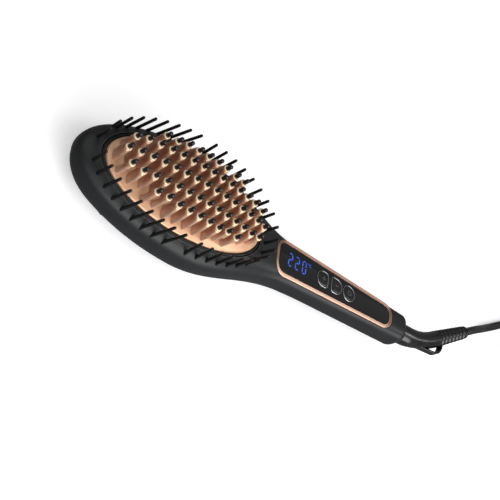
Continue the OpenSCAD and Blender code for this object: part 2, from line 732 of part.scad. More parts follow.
loop_at = [34.5, 8];    // middle of the loop's bend, past the handle's end
loop_r = 12.2;
module strain_relief() color([0.09, 0.09, 0.09]) {
    rings = concat(
        [for (s = [root_x - end_x, 0, 6, 9, 12, 15, 18, 22, 26, 31, 36]) [s, relief_radius(s)]],
        [for (k = [0:ribs - 1]) let (s = rib_start + k * rib_pitch)
            each [[s, relief_radius(s)], [s + rib_pitch * 0.55, relief_radius(s)],
                [s + rib_pitch * 0.65, relief_radius(s) - rib_deep], [s + rib_pitch * 0.9, relief_radius(s) - rib_deep]]],
        [[relief_length - 1, 4.1], [relief_length, 4.1]]);
    first = relief_at(root_x - end_x)[0];
    last = relief_at(relief_length)[0];
    skin([for (r = rings) relief_ring(r[0], r[1])], [first[0], first[1], swivel_z], [last[0], last[1], swivel_z]);
    // The loop's band runs straight beside the root and curls back to the ribs
    translate([end_x, 0, swivel_z - loop_h / 2]) linear_extrude(loop_h) polygon(concat(
        [[14, -3.4]], arc(loop_at[0], loop_at[1], loop_r, -90, 24, 16),
        arc(loop_at[0], loop_at[1], loop_r - loop_t, 24, -90, 16), [[20, -2], [14, 2]]));
}

// ---- Cord, laid on the surface ----
relief_out = relief_at(relief_length)[0];
cord_r = cord_d / 2;
coil_gap = 0.55;
coil_step = cord_d + coil_gap;
coil_middle = [320, 43.3];
coil_start = 120;       // angle where the cord runs into the coil, which winds clockwise
coil_outer = 44.15;
coil_sides = 6;
coil_rings = 24;
// The turns run in on the surface, climb a layer in the half turn where they reverse, and run out again
function coil_r(t) = coil_outer - coil_step * min(t, coil_turns - t);
function coil_z(t) = cord_r + coil_step * clamp01((t - coil_turns / 2 + 0.25) / 0.5);
function coil_at(t) = let (a = coil_start - 360 * t)
    [coil_middle[0] + coil_r(t) * cos(a), coil_middle[1] + coil_r(t) * sin(a), coil_z(t)];
coil_in = coil_at(0);
coil_out = coil_at(coil_turns);
coil_stub = 1;          // straight length at each end of the coil
coil_mouth = coil_in - coil_stub * [sin(coil_start), -cos(coil_start), 0];

// Stretch from the strain relief to the coil
lead_route = [[relief_out[0], relief_out[1], swivel_z], [211, 31.3, 19.5], [218, 35.4, 18.4], [226, 40, 15.4],
    [234, 44.6, 11.4], [242, 49.2, 7.4], [250, 53.8, 4.4], [258, 58.4, 3.1], [266, 63.1, 2.8], [276, 68.8, 2.8],
    [287, 75.2, 2.8], [292.6, 78.4, 2.8], coil_mouth];
// Stretch from the coil to the plug
plug_heading = coil_start - 360 * coil_turns - 90;
function ahead(p, d, z) = [p[0] + d * cos(plug_heading), p[1] + d * sin(plug_heading), z];
tail_mouth = ahead(coil_out, coil_stub, coil_out[2]);
coil_points = concat([coil_mouth], [for (i = [0:coil_turns * coil_rings]) coil_at(i / coil_rings)], [tail_mouth]);
plug_z = 6.9;
tail_length = 62;
tail_route = [tail_mouth, ahead(coil_out, 6, coil_out[2]), ahead(coil_out, 16, 8), ahead(coil_out, 28, 6.2),
    ahead(coil_out, 42, 6.2), ahead(coil_out, 54, plug_z), ahead(coil_out, tail_length, plug_z)];

function unit(v) = v / norm(v);
function heading(points, i) = unit(points[min(len(points) - 1, i + 1)] - points[max(0, i - 1)]);
function tube_ring(p, t, r, n) = let (s = unit(cross([0, 0, 1], t)), u = cross(t, s))
    [for (i = [0:n - 1]) let (a = 360 * i / n - 90) p + r * (cos(a) * s + sin(a) * u)];
module tube(points, d, n) {
    skin([for (i = [0:len(points) - 1]) tube_ring(points[i], heading(points, i), d / 2, n)],
        points[0], points[len(points) - 1]);
}
function length_of(points) = len(points) < 2 ? 0
    : [for (i = [1:len(points) - 1]) norm(points[i] - points[i - 1])] * [for (i = [1:len(points) - 1]) 1];

module cord_lead() color([0.07, 0.07, 0.07]) tube(lead_route, cord_d, 10);
module cord_coil() color([0.07, 0.07, 0.07]) tube(coil_points, cord_d, coil_sides);
module cord_tail() color([0.07, 0.07, 0.07]) tube(tail_route, cord_d, 10);

// Least distance between middle lines a turn or more apart, less the cord itself
coil_least = min([for (i = [0:len(coil_points) - 1 - coil_rings / 2])
    for (j = [i + coil_rings / 2:len(coil_points) - 1]) norm(coil_points[i] - coil_points[j])]) - cord_d;
echo(coil_gap_to_itself = coil_least, lead = length_of(lead_route), coil = length_of(coil_points),
    tail = length_of(tail_route), cord = length_of(lead_route) + length_of(coil_points) + length_of(tail_route));

// ---- Two-pin plug, lying flat ----
plug_at = tail_route[len(tail_route) - 1];
plug_length = 36;
pin_gap = 18.6;
plug_pin_d = 4;
pin_root = 6;           // length of a pin inside the plug
pin_reach = 19;         // length of a pin outside it
module in_plug() {
    translate([plug_at[0], plug_at[1], 0]) rotate([0, 0, plug_heading]) children();
}
module plug_body() color([0.08, 0.08, 0.08]) in_plug() difference() {
    union() {
        linear_extrude(2 * plug_z)
            polygon([[8, -6], [20, -13.2], [plug_length, -13.2], [plug_length, 13.2], [20, 13.2], [8, 6]]);
        translate([0, 0, plug_z]) rotate([0, 90, 0]) cylinder(h = 10, d1 = 8, d2 = 11);
    }
    for (s = [-1, 1]) translate([plug_length - pin_root, s * pin_gap / 2, plug_z]) rotate([0, 90, 0])
        cylinder(h = 10, d = plug_pin_d);
}
module plug_pins() color([0.78, 0.78, 0.8]) in_plug()
    for (s = [-1, 1]) translate([plug_length - pin_root, s * pin_gap / 2, plug_z]) rotate([0, 90, 0])
        rotate_extrude($fn = 32) {
            straight = pin_root + pin_reach - plug_pin_d / 2;
            square([plug_pin_d / 2, straight]);
            intersection() {
                translate([0, straight]) circle(d = plug_pin_d);
                square([plug_pin_d / 2, straight + plug_pin_d]);
            }
        }

front_shell();
rear_cover();
heating_plate();
for (i = [0:4]) {
    fin_row(i);
    pin_row(i);
}
plate_ring();
bristle_group(-1, -1);  // bristles_tip_near
bristle_group(-1, 1);  // bristles_tip_far
bristle_group(1, -1);  // bristles_neck_near
bristle_group(1, 1);  // bristles_neck_far
neck_bristle();
heater(-1);  // heater_tip
heater(1);  // heater_neck
heater_clamp();
clamp_screws();
thermistor();
thermal_fuse();
heat_shield();
heater_leads();
control_board();
board_screws();
display_module();
relay();
capacitor();
board_fuse();
for (k = [0:2]) {
    name = ["plus", "minus", "power"][k];
    switch_body(k);
    plunger(k);
    button(k);
    button_rim(k);
}
control_panel();
trim_ring();
head_screws();
handle_screws();
cord_hub();
slip_rings();
contact_fingers();
strain_relief();
cord_lead();
cord_coil();
cord_tail();
plug_body();
plug_pins();
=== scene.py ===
from math import acos, atan, atan2, copysign, cos, hypot, pi, radians, sin, sqrt
import bpy
from mathutils import Matrix, Vector


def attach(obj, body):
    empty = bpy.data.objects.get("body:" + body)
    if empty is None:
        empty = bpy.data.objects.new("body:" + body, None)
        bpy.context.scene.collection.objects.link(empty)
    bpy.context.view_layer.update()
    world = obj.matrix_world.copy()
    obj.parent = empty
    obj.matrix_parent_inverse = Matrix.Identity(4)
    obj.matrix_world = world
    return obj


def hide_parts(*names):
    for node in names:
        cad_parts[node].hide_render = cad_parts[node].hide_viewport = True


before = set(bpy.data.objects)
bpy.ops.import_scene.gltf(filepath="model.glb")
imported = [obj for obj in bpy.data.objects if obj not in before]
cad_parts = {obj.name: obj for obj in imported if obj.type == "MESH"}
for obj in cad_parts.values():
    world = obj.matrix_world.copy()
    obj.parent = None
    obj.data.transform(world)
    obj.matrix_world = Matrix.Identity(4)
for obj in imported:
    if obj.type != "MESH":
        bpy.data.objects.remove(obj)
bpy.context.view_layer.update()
mm = 0.001          # the pieces are laid out in millimetres, and Blender's unit is the metre
sameLevel = 0.001   # heights closer than this are one level
bpy.context.scene.view_settings.view_transform = "Standard"


# making things by hand
def point(x, y, z):
    return Vector((x * mm, y * mm, z * mm))


def mix(a, b, share):
    return a + (b - a) * share


def clamp01(value):
    return min(1.0, max(0.0, value))


def ramp(value, stops):
    # straight steps between (place, value) pairs
    for (p0, v0), (p1, v1) in zip(stops, stops[1:]):
        if value <= p1:
            return mix(v0, v1, clamp01((value - p0) / (p1 - p0)))
    return stops[-1][1]


def only(*pieces):
    if bpy.context.object and bpy.context.object.mode != "OBJECT":
        bpy.ops.object.mode_set(mode="OBJECT")
    bpy.ops.object.select_all(action="DESELECT")
    for piece in pieces:
        piece.select_set(True)
    bpy.context.view_layer.objects.active = pieces[0] if pieces else None


def start(shape, name, **sizes):
    # adds a primitive that is alone in the selection
    only()
    getattr(bpy.ops.mesh, "primitive_" + shape + "_add")(**sizes)
    piece = bpy.context.object
    piece.name = name
    return piece


def edit(piece, *steps):
    # runs edit-mode steps, each a mesh operator's name with its settings, on what is selected
    only(piece)
    bpy.ops.object.mode_set(mode="EDIT")
    for operator, settings in steps:
        getattr(bpy.ops.mesh, operator)(**settings)
    bpy.ops.object.mode_set(mode="OBJECT")


def editAll(piece, *steps):
    edit(piece, ("select_all", {"action": "SELECT"}), *steps)


def roundEdges(piece, width, segments, test):
    # bevels the edges whose two ends pass the test
    edit(piece, ("select_mode", {"type": "EDGE"}), ("select_all", {"action": "DESELECT"}))
    for edge in piece.data.edges:
        a, b = (piece.data.vertices[i].co / mm for i in edge.vertices)
        edge.select = test(a, b)
    edit(piece, ("bevel", {"offset": width * mm, "segments": segments, "affect": "EDGES"}))


def outward(piece):
    edit(piece, ("select_mode", {"type": "VERT"}), ("select_all", {"action": "SELECT"}),
         ("normals_make_consistent", {"inside": False}))
    return piece


def settle(piece):
    only(piece)
    bpy.ops.object.transform_apply(location=True, rotation=True, scale=True)
    return piece


def modify(piece, kind, **settings):
    only(piece)
    modifier = piece.modifiers.new(kind.lower(), kind)
    for key, value in settings.items():
        setattr(modifier, key, value)
    bpy.ops.object.modifier_apply(modifier=modifier.name)
    return piece


def cut(piece, cutter, operation="DIFFERENCE"):
    modify(piece, "BOOLEAN", object=cutter, operation=operation, solver="MANIFOLD")
    bpy.data.objects.remove(cutter)
    return piece


def copyOf(piece, name):
    twin = piece.copy()
    twin.data = piece.data.copy()
    twin.name = name
    bpy.context.collection.objects.link(twin)
    return twin


def joined(name, pieces):
    only(*pieces)
    if len(pieces) > 1:
        bpy.ops.object.join()
    whole = bpy.context.object
    whole.name = name
    return whole


def turnOf(vertex, around):
    return round(atan2(vertex.co.y, vertex.co.x) / 2 / pi * around) % around


def ball(name, around, rows, poles, place):
    # a sphere drawn out: place(row, turn) gives the vertices of each row, and the poles close its ends
    rings = len(rows) + 1
    piece = start("uv_sphere", name, segments=around, ring_count=rings, radius=1)
    for vertex in piece.data.vertices:
        ring = round(acos(max(-1, min(1, vertex.co.z))) / pi * rings)
        if 0 < ring < rings:
            vertex.co = place(rows[ring - 1], turnOf(vertex, around))
        else:
            vertex.co = poles[0 if ring == 0 else 1]
    return outward(piece)


def hoop(name, around, across, place):
    # a torus drawn into a closed band: place(turn, side) gives each vertex
    piece = start("torus", name, major_segments=around, minor_segments=across, major_radius=1,
                  minor_radius=0.25)
    for vertex in piece.data.vertices:
        reach = hypot(vertex.co.x, vertex.co.y) - 1
        side = round(atan2(vertex.co.z, reach) / 2 / pi * across) % across
        vertex.co = place(turnOf(vertex, around), side)
    return outward(piece)


def slab(name, outline, low, high):
    # an outline in the ground plane, filled and drawn up
    piece = start("circle", name, vertices=len(outline), radius=1, fill_type="NGON")
    for vertex, (x, y) in zip(piece.data.vertices, outline):
        vertex.co = point(x, y, low)
    rise = {"value": (0, 0, (high - low) * mm)}
    editAll(piece, ("extrude_region_move", {"TRANSFORM_OT_translate": rise}))
    return outward(piece)


def rod(name, sides, radius, low, high, at=(0, 0), capEdge=0.0):
    # an upright rod whose top edge may be rounded
    piece = start("cylinder", name, vertices=sides, radius=radius * mm, depth=(high - low) * mm,
                  location=point(at[0], at[1], (low + high) / 2))
    settle(piece)
    if capEdge:
        roundEdges(piece, capEdge, 4, lambda a, b: min(a.z, b.z) > high - sameLevel)
    return piece


def lyingRod(name, sides, radius, x0, x1, y, height):
    piece = start("cylinder", name, vertices=sides, radius=radius * mm, depth=(x1 - x0) * mm,
                  location=point((x0 + x1) / 2, y, height), rotation=(0, pi / 2, 0))
    return settle(piece)


def tube(name, sides, rows, lineAt, height):
    # a closed tube in a level plane: each row has how far along the line it is, and its radius
    def place(row, turn):
        s, r = row
        x, y, heading = lineAt(s)
        a = 2 * pi * turn / sides
        return point(x - sin(heading) * r * cos(a), y + cos(heading) * r * cos(a),
                     height + r * sin(a))
    poles = [point(*lineAt(rows[end][0])[:2], height) for end in (0, -1)]
    return ball(name, sides, rows, poles, place)


# finishes
class Wire:
    # a socket that sums can be written with
    def __init__(self, finish, socket):
        self.finish = finish
        self.socket = socket

    def sum(self, operation, first, second):
        return self.finish.node("Math", {"operation": operation}, {0: first, 1: second})

    def __add__(self, other):
        return self.sum("ADD", self, other)

    def __radd__(self, other):
        return self.sum("ADD", other, self)

    def __mul__(self, other):
        return self.sum("MULTIPLY", self, other)

    def __rmul__(self, other):
        return self.sum("MULTIPLY", other, self)


def solid(colour):
    return colour if isinstance(colour, Wire) else colour + (1,)


def shade(colour, share, lift=0.0):
    return tuple(min(1, c * share + lift) for c in colour)


class Finish:
    # a material that is being written
    def __init__(self, name, **plain):
        self.material = bpy.data.materials.new(name)
        self.material.use_nodes = True
        self.tree = self.material.node_tree
        self.shader = self.tree.nodes["Principled BSDF"]
        self.where = self.node("TexCoord", {}, {}, "Object")
        for socket, value in plain.items():
            self.shader.inputs[socket.replace("_", " ")].default_value = value

    def node(self, kind, settings, sockets, out=0):
        made = self.tree.nodes.new("ShaderNode" + kind)
        for key, value in settings.items():
            setattr(made, key, value)
        for key, value in sockets.items():
            self.feed(made.inputs[key], value)
        return Wire(self, made.outputs[out])

    def feed(self, socket, value):
        if isinstance(value, Wire):
            self.tree.links.new(value.socket, socket)
        else:
            socket.default_value = value

    def noise(self, size, detail=2.0, stretch=None, rough=0.5):
        # cloudy grain whose spots are about size millimetres across
        where = self.where
        if stretch:
            where = self.node("Mapping", {}, {"Vector": where, "Scale": stretch})
        return self.node("TexNoise", {}, {"Vector": where, "Scale": 1 / (size * mm), "Detail": detail,
                                          "Roughness": rough}, "Fac")

    def marked(self, name):
        # a share from 0 to 1 that the piece's own points carry
        return self.node("Attribute", {"attribute_name": name}, {}, "Fac")

    def toned(self, colours, tones):
        for mark, tone in (tones or {}).items():
            colours = self.tint(self.marked(mark), colours, tone)
        return colours

    def cells(self, size):
        return self.node("TexVoronoi", {}, {"Vector": self.where, "Scale": 1 / (size * mm)}, "Distance")

    def between(self, grain, low, high):
        # grain from 0 to 1 becomes low to high, held inside them
        return self.node("MapRange", {}, {0: grain, 1: 0.3, 2: 0.7, 3: low, 4: high})

    def tint(self, share, first, second):
        return self.node("Mix", {"data_type": "RGBA"}, {0: share, 6: solid(first), 7: solid(second)}, 2)

    def shades(self, grain, first, second):
        return self.tint(self.between(grain, 0, 1), first, second)

    def bump(self, height, depth, strength=0.5):
        return self.node("Bump", {}, {"Height": height, "Distance": depth * mm, "Strength": strength})

    def done(self, colour, roughness, normal=None):
        self.feed(self.shader.inputs["Base Color"], colour)
        self.feed(self.shader.inputs["Roughness"], roughness)
        if normal:
            self.feed(self.shader.inputs["Normal"], normal)
        return self.material


def mouldedPlastic(name, colour, gloss, grain=0.35, depth=0.015, shine=0.4, tones=None):
    # dark moulded plastic: a fine spark-eroded grain, with cloudy changes of shade and gloss
    finish = Finish(name, Specular_IOR_Level=shine)
    pale = shade(colour, 1.22, 0.0008)
    cloud = finish.noise(14, 3)
    fine = finish.noise(grain, 3, rough=0.6)
    colours = finish.shades(cloud * 0.6 + fine * 0.4, colour, pale)
    rough = finish.between(cloud * 0.5 + fine * 0.5, gloss - 0.04, gloss + 0.06)
    return finish.done(finish.toned(colours, tones), rough, finish.bump(fine, depth, 0.6))


def paintedMetal(name, colour, pale, gloss, metallic=0.35, tones=None):
    # satin bronze paint: fine flakes, a slight orange peel and a worn tone in patches
    finish = Finish(name, Metallic=metallic)
    flakes = finish.cells(0.25)
    cloud = finish.noise(9, 3)
    peel = finish.noise(1.1, 2)
    colours = finish.shades(flakes * 0.5 + cloud * 0.5, colour, pale)
    rough = finish.between(cloud * 0.7 + flakes * 0.3, gloss - 0.05, gloss + 0.07)
    return finish.done(finish.toned(colours, tones), rough, finish.bump(peel, 0.02))


def bareMetal(name, colour, gloss, grain=(1, 14, 14), size=2.5):
    # drawn or brushed metal: fine lines along X
    finish = Finish(name, Metallic=1.0)
    lines = finish.noise(size, 3, grain)
    spots = finish.noise(6, 2)
    colours = finish.shades(spots, colour, shade(colour, 1.12))
    rough = finish.between(lines * 0.6 + spots * 0.4, gloss - 0.05, gloss + 0.08)
    return finish.done(colours, rough, finish.bump(lines, 0.006))


def glossyBlack(name, colour):
    # piano-black panel: a hard clear surface with the faintest wipe marks
    finish = Finish(name, Specular_IOR_Level=0.5, Coat_Weight=0.2, Coat_Roughness=0.03)
    wipes = finish.noise(7, 4, (1, 3, 3))
    dust = finish.noise(0.5, 2)
    colours = finish.shades(dust, colour, shade(colour, 1.5))
    return finish.done(colours, finish.between(wipes, 0.05, 0.10))


def litSegments(name, colour, strength):
    # light that comes through a smoked window, a little uneven
    finish = Finish(name, Emission_Strength=strength)
    cloud = finish.noise(1.5, 2)
    glow = finish.shades(cloud, colour, shade(colour, 1.35, 0.05))
    finish.feed(finish.shader.inputs["Emission Color"], glow)
    return finish.done(finish.tint(cloud, (0.01, 0.02, 0.08), (0.02, 0.04, 0.12)), 0.3)


def softRubber(name, colour, gloss):
    # rubbery plastic of the cord and its strain relief: smooth with a slight waviness
    finish = Finish(name)
    wave = finish.noise(5, 2)
    fine = finish.noise(0.4, 2)
    colours = finish.shades(wave * 0.6 + fine * 0.4, colour, shade(colour, 1.3, 0.002))
    rough = finish.between(wave * 0.6 + fine * 0.4, gloss - 0.04, gloss + 0.07)
    return finish.done(colours, rough, finish.bump(fine, 0.01))


def circuitBoard(name):
    # solder mask over copper tracks that run in steps
    finish = Finish(name, Coat_Weight=0.2)
    tracks = finish.node("TexBrick", {"offset": 0.5}, {"Vector": finish.where, "Scale": 300.0,
                                                       "Mortar Size": 0.03, "Bias": -0.3}, "Fac")
    weave = finish.noise(0.5, 2)
    mask = finish.shades(weave, (0.010, 0.075, 0.030), (0.016, 0.10, 0.042))
    colours = finish.tint(tracks * 0.6, mask, (0.05, 0.20, 0.07))
    return finish.done(colours, finish.between(weave, 0.3, 0.42), finish.bump(tracks, 0.03))


def firedCeramic(name, colour):
    # off-white ceramic with coarse grains
    finish = Finish(name)
    grains = finish.cells(0.6)
    cloud = finish.noise(5, 3)
    colours = finish.shades(cloud * 0.7 + grains * 0.3, shade(colour, 0.86), colour)
    return finish.done(colours, finish.between(grains, 0.55, 0.72), finish.bump(grains, 0.02))


def pressedSheet(name, colour):
    # mica-like sheet: thin layers that flake in spots
    finish = Finish(name)
    layers = finish.noise(3, 4, (1, 1, 6))
    flakes = finish.cells(1.4)
    colours = finish.shades(layers * 0.6 + flakes * 0.4, shade(colour, 0.72), colour)
    return finish.done(colours, finish.between(layers, 0.42, 0.62), finish.bump(layers, 0.03))


def braidedSleeve(name, colour):
    # glass-fibre sleeve: fine crossing threads
    finish = Finish(name)

    def weave(way, scale):
        return finish.node("TexWave", {"bands_direction": way},
                           {"Vector": finish.where, "Scale": scale}, "Fac")
    one, other = weave("DIAGONAL", 900.0), weave("X", 1100.0)
    threads = one * 0.5 + other * 0.5
    colours = finish.shades(threads, shade(colour, 0.7), colour)
    return finish.done(colours, finish.between(one, 0.7, 0.85), finish.bump(threads, 0.05))


finishes = {
    "shell_plastic": mouldedPlastic("softTouchCharcoal", (0.0105, 0.0112, 0.0120), 0.38, 0.3, 0.012, 0.25),
    "cover_plastic": mouldedPlastic("rearCoverCharcoal", (0.0115, 0.0118, 0.0123), 0.47, 0.45, 0.03, 0.36),
    "copper_plate": paintedMetal("platePaint", (0.56, 0.32, 0.185), (0.71, 0.43, 0.265), 0.34),
    # the fins carry painted light: a cream painted highlight on collar tops and edges, and a lighter
    # painted reflection towards the foot
    "copper_fins": paintedMetal("finPaint", (0.33, 0.135, 0.075), (0.46, 0.21, 0.122), 0.28, 0.45,
                                tones={"paintedFootReflection": (0.52, 0.32, 0.235), "paintedCollarHighlight": (1.0, 0.80, 0.56)}),
    "cool_tips": mouldedPlastic("tipNylon", (0.005, 0.005, 0.0055), 0.24, 0.25, 0.004, 0.5),
    # the ring's raised lip gets a lighter grey painted highlight
    "ring_plastic": mouldedPlastic("ringBlack", (0.005, 0.0051, 0.0055), 0.36, 0.3, 0.01, 0.25,
                                   tones={"paintedLipHighlight": (0.085, 0.088, 0.092)}),
    "bristles": mouldedPlastic("bristleNylon", (0.0035, 0.0035, 0.004), 0.33, 0.25, 0.006, 0.3),
    "heater_ceramic": firedCeramic("heaterCeramic", (0.78, 0.76, 0.70)),
    "inner_steel": bareMetal("zincSteel", (0.50, 0.51, 0.52), 0.34),
    "sensor_bead": mouldedPlastic("sensorEpoxy", (0.36, 0.10, 0.045), 0.35, 0.8, 0.02),
    "shield_board": pressedSheet("shieldMica", (0.62, 0.50, 0.28)),
    "lead_sleeve": braidedSleeve("leadSleeve", (0.78, 0.77, 0.73)),
    "circuit_board": circuitBoard("boardGreen"),
    "dark_component": mouldedPlastic("componentBlack", (0.02, 0.02, 0.022), 0.4, 0.3, 0.01),
    "relay_case": mouldedPlastic("relayBlue", (0.02, 0.06, 0.28), 0.35, 0.4, 0.01),
    "capacitor_case": mouldedPlastic("capacitorYellow", (0.52, 0.34, 0.03), 0.35, 0.4, 0.01),
    "button_caps": mouldedPlastic("capPlastic", (0.007, 0.007, 0.0075), 0.22, 0.3, 0.004, 0.4),
    "button_rims": bareMetal("rimSilver", (0.40, 0.40, 0.42), 0.36, (6, 6, 1), 0.8),
    "panel_gloss": glossyBlack("panelBlack", (0.0022, 0.0022, 0.0027)),
    "rose_trim": bareMetal("roseGold", (0.46, 0.295, 0.225), 0.4, (1, 9, 9), 2.0),
    "screw_steel": bareMetal("screwSteel", (0.30, 0.30, 0.32), 0.3, (1, 1, 1), 0.8),
    "hub_plastic": mouldedPlastic("hubNylon", (0.05, 0.05, 0.052), 0.42, 0.4, 0.015),
    "contact_brass": bareMetal("contactBrass", (0.72, 0.50, 0.19), 0.25),
    "relief_rubber": softRubber("reliefRubber", (0.004, 0.004, 0.0044), 0.2),
    "cord_rubber": softRubber("cordJacket", (0.007, 0.007, 0.0075), 0.34),
    "plug_plastic": mouldedPlastic("plugPlastic", (0.016, 0.016, 0.017), 0.36, 0.35, 0.015),
    "plug_metal": bareMetal("pinNickel", (0.62, 0.61, 0.58), 0.22, (1, 1, 1), 1.0),
    "display_light": litSegments("displayBlue", (0.012, 0.065, 0.55), 0.95),
    "symbol_print": mouldedPlastic("symbolPrint", (0.07, 0.07, 0.075), 0.4, 0.3, 0.004),
}


def dress(piece, finish):
    piece.data.materials.clear()
    piece.data.materials.append(finishes[finish])


def give(piece, body, finish, *nodes, angle=32, slot=None):
    # hands a finished piece over: shading, material, the body it rides, and the CAD nodes it stands for
    only(piece)
    bpy.ops.object.shade_smooth_by_angle(angle=radians(angle))
    modify(piece, "WEIGHTED_NORMAL", keep_sharp=True)
    dress(piece, finish)
    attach(piece, body)
    if nodes:
        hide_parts(*nodes)
    return piece


# camera, floor and light
studio = {
    "cameraPlace": (-0.4917, -0.3997, 0.5802),
    "cameraRight": (0.705, 0.115, 0.699),
    "cameraForward": (0.581, 0.471, -0.664),
    "lens": 101.0,
    "floorColour": (0.86, 0.86, 0.87),
    "floorGlow": 0.42,
    "worldLight": 0.20,
    "boxes": [
        # name, place, width, height, power
        ("overheadBox", (0.15, -0.85, 1.15), 2.6, 1.8, 21),
        ("nearBox", (0.50, -1.25, 0.50), 2.0, 0.9, 24),
        ("streakBox", (1.14, 0.02, 1.12), 0.3, 0.8, 4.2),
        ("tipBox", (-0.45, 0.75, 1.30), 0.9, 0.9, 3.2),
        ("farFill", (1.0, 0.35, 1.2), 1.0, 1.0, 0.4),
    ],
}


def placeCamera():
    only()
    bpy.ops.object.camera_add(location=studio["cameraPlace"])
    camera = bpy.context.object
    forward = Vector(studio["cameraForward"]).normalized()
    right = Vector(studio["cameraRight"])
    right = (right - forward * right.dot(forward)).normalized()
    up = right.cross(forward)
    camera.rotation_euler = Matrix((right, up, -forward)).transposed().to_euler()
    camera.data.lens = studio["lens"]
    camera.data.sensor_width = 36
    camera.data.clip_start = 0.01
    bpy.context.scene.camera = camera


def layFloor():
    floor = start("plane", "studioFloor", size=8)
    editAll(floor, ("subdivide", {"number_cuts": 3}))
    settle(floor)
    paper = Finish("paleFloor")
    colour = studio["floorColour"]
    paper.done(paper.shades(paper.noise(60), shade(colour, 0.985), colour), 0.85)
    paper.shader.inputs["Emission Color"].default_value = colour + (1,)
    paper.shader.inputs["Emission Strength"].default_value = studio["floorGlow"]
    floor.data.materials.append(paper.material)
    # the brush doesn't mirror the floor, so its sides stay as dark as on a dark table
    floor.visible_glossy = False


def hangLights():
    for name, place, width, height, power in studio["boxes"]:
        only()
        aim = Vector(place).normalized().to_track_quat("Z", "Y").to_euler()     # at the origin
        bpy.ops.object.light_add(type="AREA", location=place, rotation=aim)
        box = bpy.context.object
        box.name = name
        box.data.shape = "RECTANGLE"
        box.data.size = width
        box.data.size_y = height
        box.data.energy = power
    world = bpy.data.worlds.new("studioAir")
    world.use_nodes = True
    background = world.node_tree.nodes["Background"]
    background.inputs["Color"].default_value = (1.0, 1.0, 1.0, 1)
    background.inputs["Strength"].default_value = studio["worldLight"]
    bpy.context.scene.world = world


placeCamera()
layFloor()
hangLights()
print("studio is set up")


# strain relief's line and the cord
relief = {
    "height": 19.5,         # of the swivel's axis
    "bendRadius": 70,
    "bendAngle": 30,
    "reach": 67,
    "rootRadius": 6.9,
    "rootX": 134.3,
    "ribs": 8,
    "ribStart": 37,
    "ribDepth": 0.7,
    "sides": 40,
    "loopAt": (33.2, 7.8),
    "loopRadius": 9.7,
    "loopBand": 1.5,
    "loopHeight": 5,
    "loopFrom": (14, -3.4),
    "loopTo": [(20, -2), (14, 2)],
    "ways": ((4.8, 125, 156), (7.2, 134, 164)),     # bores for the hub and the root: radius, from, to
}
endX = 138.0
bendRad = radians(relief["bendAngle"])
bendOutX = endX + relief["bendRadius"] * sin(bendRad)
reliefLength = relief["bendRadius"] * bendRad + (endX + relief["reach"] - bendOutX) / cos(bendRad)


def reliefAt(s):
    # place and heading of the strain relief's middle line, s past the handle's end
    if s < 0:
        return endX + s, 0.0, 0.0
    r = relief["bendRadius"]
    a = min(bendRad, s / r)
    on = s - r * a
    return endX + r * sin(a) + on * cos(a), r * (1 - cos(a)) + on * sin(a), a


cordFacts = {
    "diameter": 5.6,
    "turns": 8.25,
    "turnPoints": 24,
    "layGap": 0.55,
    "coilMiddle": (320, 43.3),
    "coilOuter": 44.15,
    "coilStart": 120,
    "stub": 1,
    "lead": [(211, 31.3, 19.5), (218, 35.4, 18.4), (226, 40, 15.4), (234, 44.6, 11.4), (242, 49.2, 7.4),
             (250, 53.8, 4.4), (258, 58.4, 3.1), (266, 63.1, 2.8), (276, 68.8, 2.8), (287, 75.2, 2.8),
             (292.6, 78.4, 2.8)],
    "tail": [(6, None), (16, 8), (28, 6.2), (42, 6.2), (54, 6.9), (62, 6.9)],     # how far on, and how high
}
cordHalf = cordFacts["diameter"] / 2
coilStep = cordFacts["diameter"] + cordFacts["layGap"]


def coilAt(turn):
    a = radians(cordFacts["coilStart"] - 360 * turn)
    r = cordFacts["coilOuter"] - coilStep * min(turn, cordFacts["turns"] - turn)
    z = cordHalf + coilStep * clamp01((turn - cordFacts["turns"] / 2 + 0.25) / 0.5)
    x, y = cordFacts["coilMiddle"]
    return Vector((x + r * cos(a), y + r * sin(a), z))


def smoothLine(points, steps):
    # a line that passes through every point without corners
    out = []
    for i in range(len(points) - 1):
        before = points[max(0, i - 1)]
        a, b = points[i], points[i + 1]
        after = points[min(len(points) - 1, i + 2)]
        for k in range(steps):
            t = k / steps
            out.append(0.5 * (2 * a + (b - before) * t + (2 * before - 5 * a + 4 * b - after) * t ** 2
                              + (3 * a - before - 3 * b + after) * t ** 3))
    return out + [points[-1]]


plugHeading = radians(cordFacts["coilStart"] - 360 * cordFacts["turns"] - 90)
plugWay = Vector((cos(plugHeading), sin(plugHeading), 0))


def cordRoute():
    out = reliefAt(reliefLength)
    begin = Vector((out[0], out[1], relief["height"]))
    a = radians(cordFacts["coilStart"])
    mouth = coilAt(0) - cordFacts["stub"] * Vector((sin(a), -cos(a), 0))
    lead = [begin] + [Vector(p) for p in cordFacts["lead"]] + [mouth]
    turns = round(cordFacts["turns"] * cordFacts["turnPoints"])
    coil = [coilAt(i / cordFacts["turnPoints"]) for i in range(turns + 1)]
    last = coilAt(cordFacts["turns"])
    tail = [last + plugWay * cordFacts["stub"]]
    for on, height in cordFacts["tail"]:
        level = last.z if height is None else height
        tail.append(Vector((last.x + plugWay.x * on, last.y + plugWay.y * on, level)))
    return begin, smoothLine(lead + coil + tail, 3), tail[-1]


cordBegin, cordLine, plugAt = cordRoute()
cordCurve = bpy.data.curves.new("powerCord", "CURVE")
cordCurve.dimensions = "3D"
cordCurve.bevel_depth = cordHalf * mm
cordCurve.bevel_resolution = 3
cordCurve.use_fill_caps = True
strand = cordCurve.splines.new("POLY")
strand.points.add(len(cordLine) - 1)
for knot, place in zip(strand.points, cordLine):
    knot.co = (*(place * mm), 1)
powerCord = bpy.data.objects.new("powerCord", cordCurve)
bpy.context.collection.objects.link(powerCord)
cordCurve.materials.append(finishes["cord_rubber"])
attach(powerCord, "cord")
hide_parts("cord_lead", "cord_coil", "cord_tail")
cordLength = sum((b - a).length for a, b in zip(cordLine, cordLine[1:])) * mm
print("cord is laid,", round(cordLength, 4), "m")


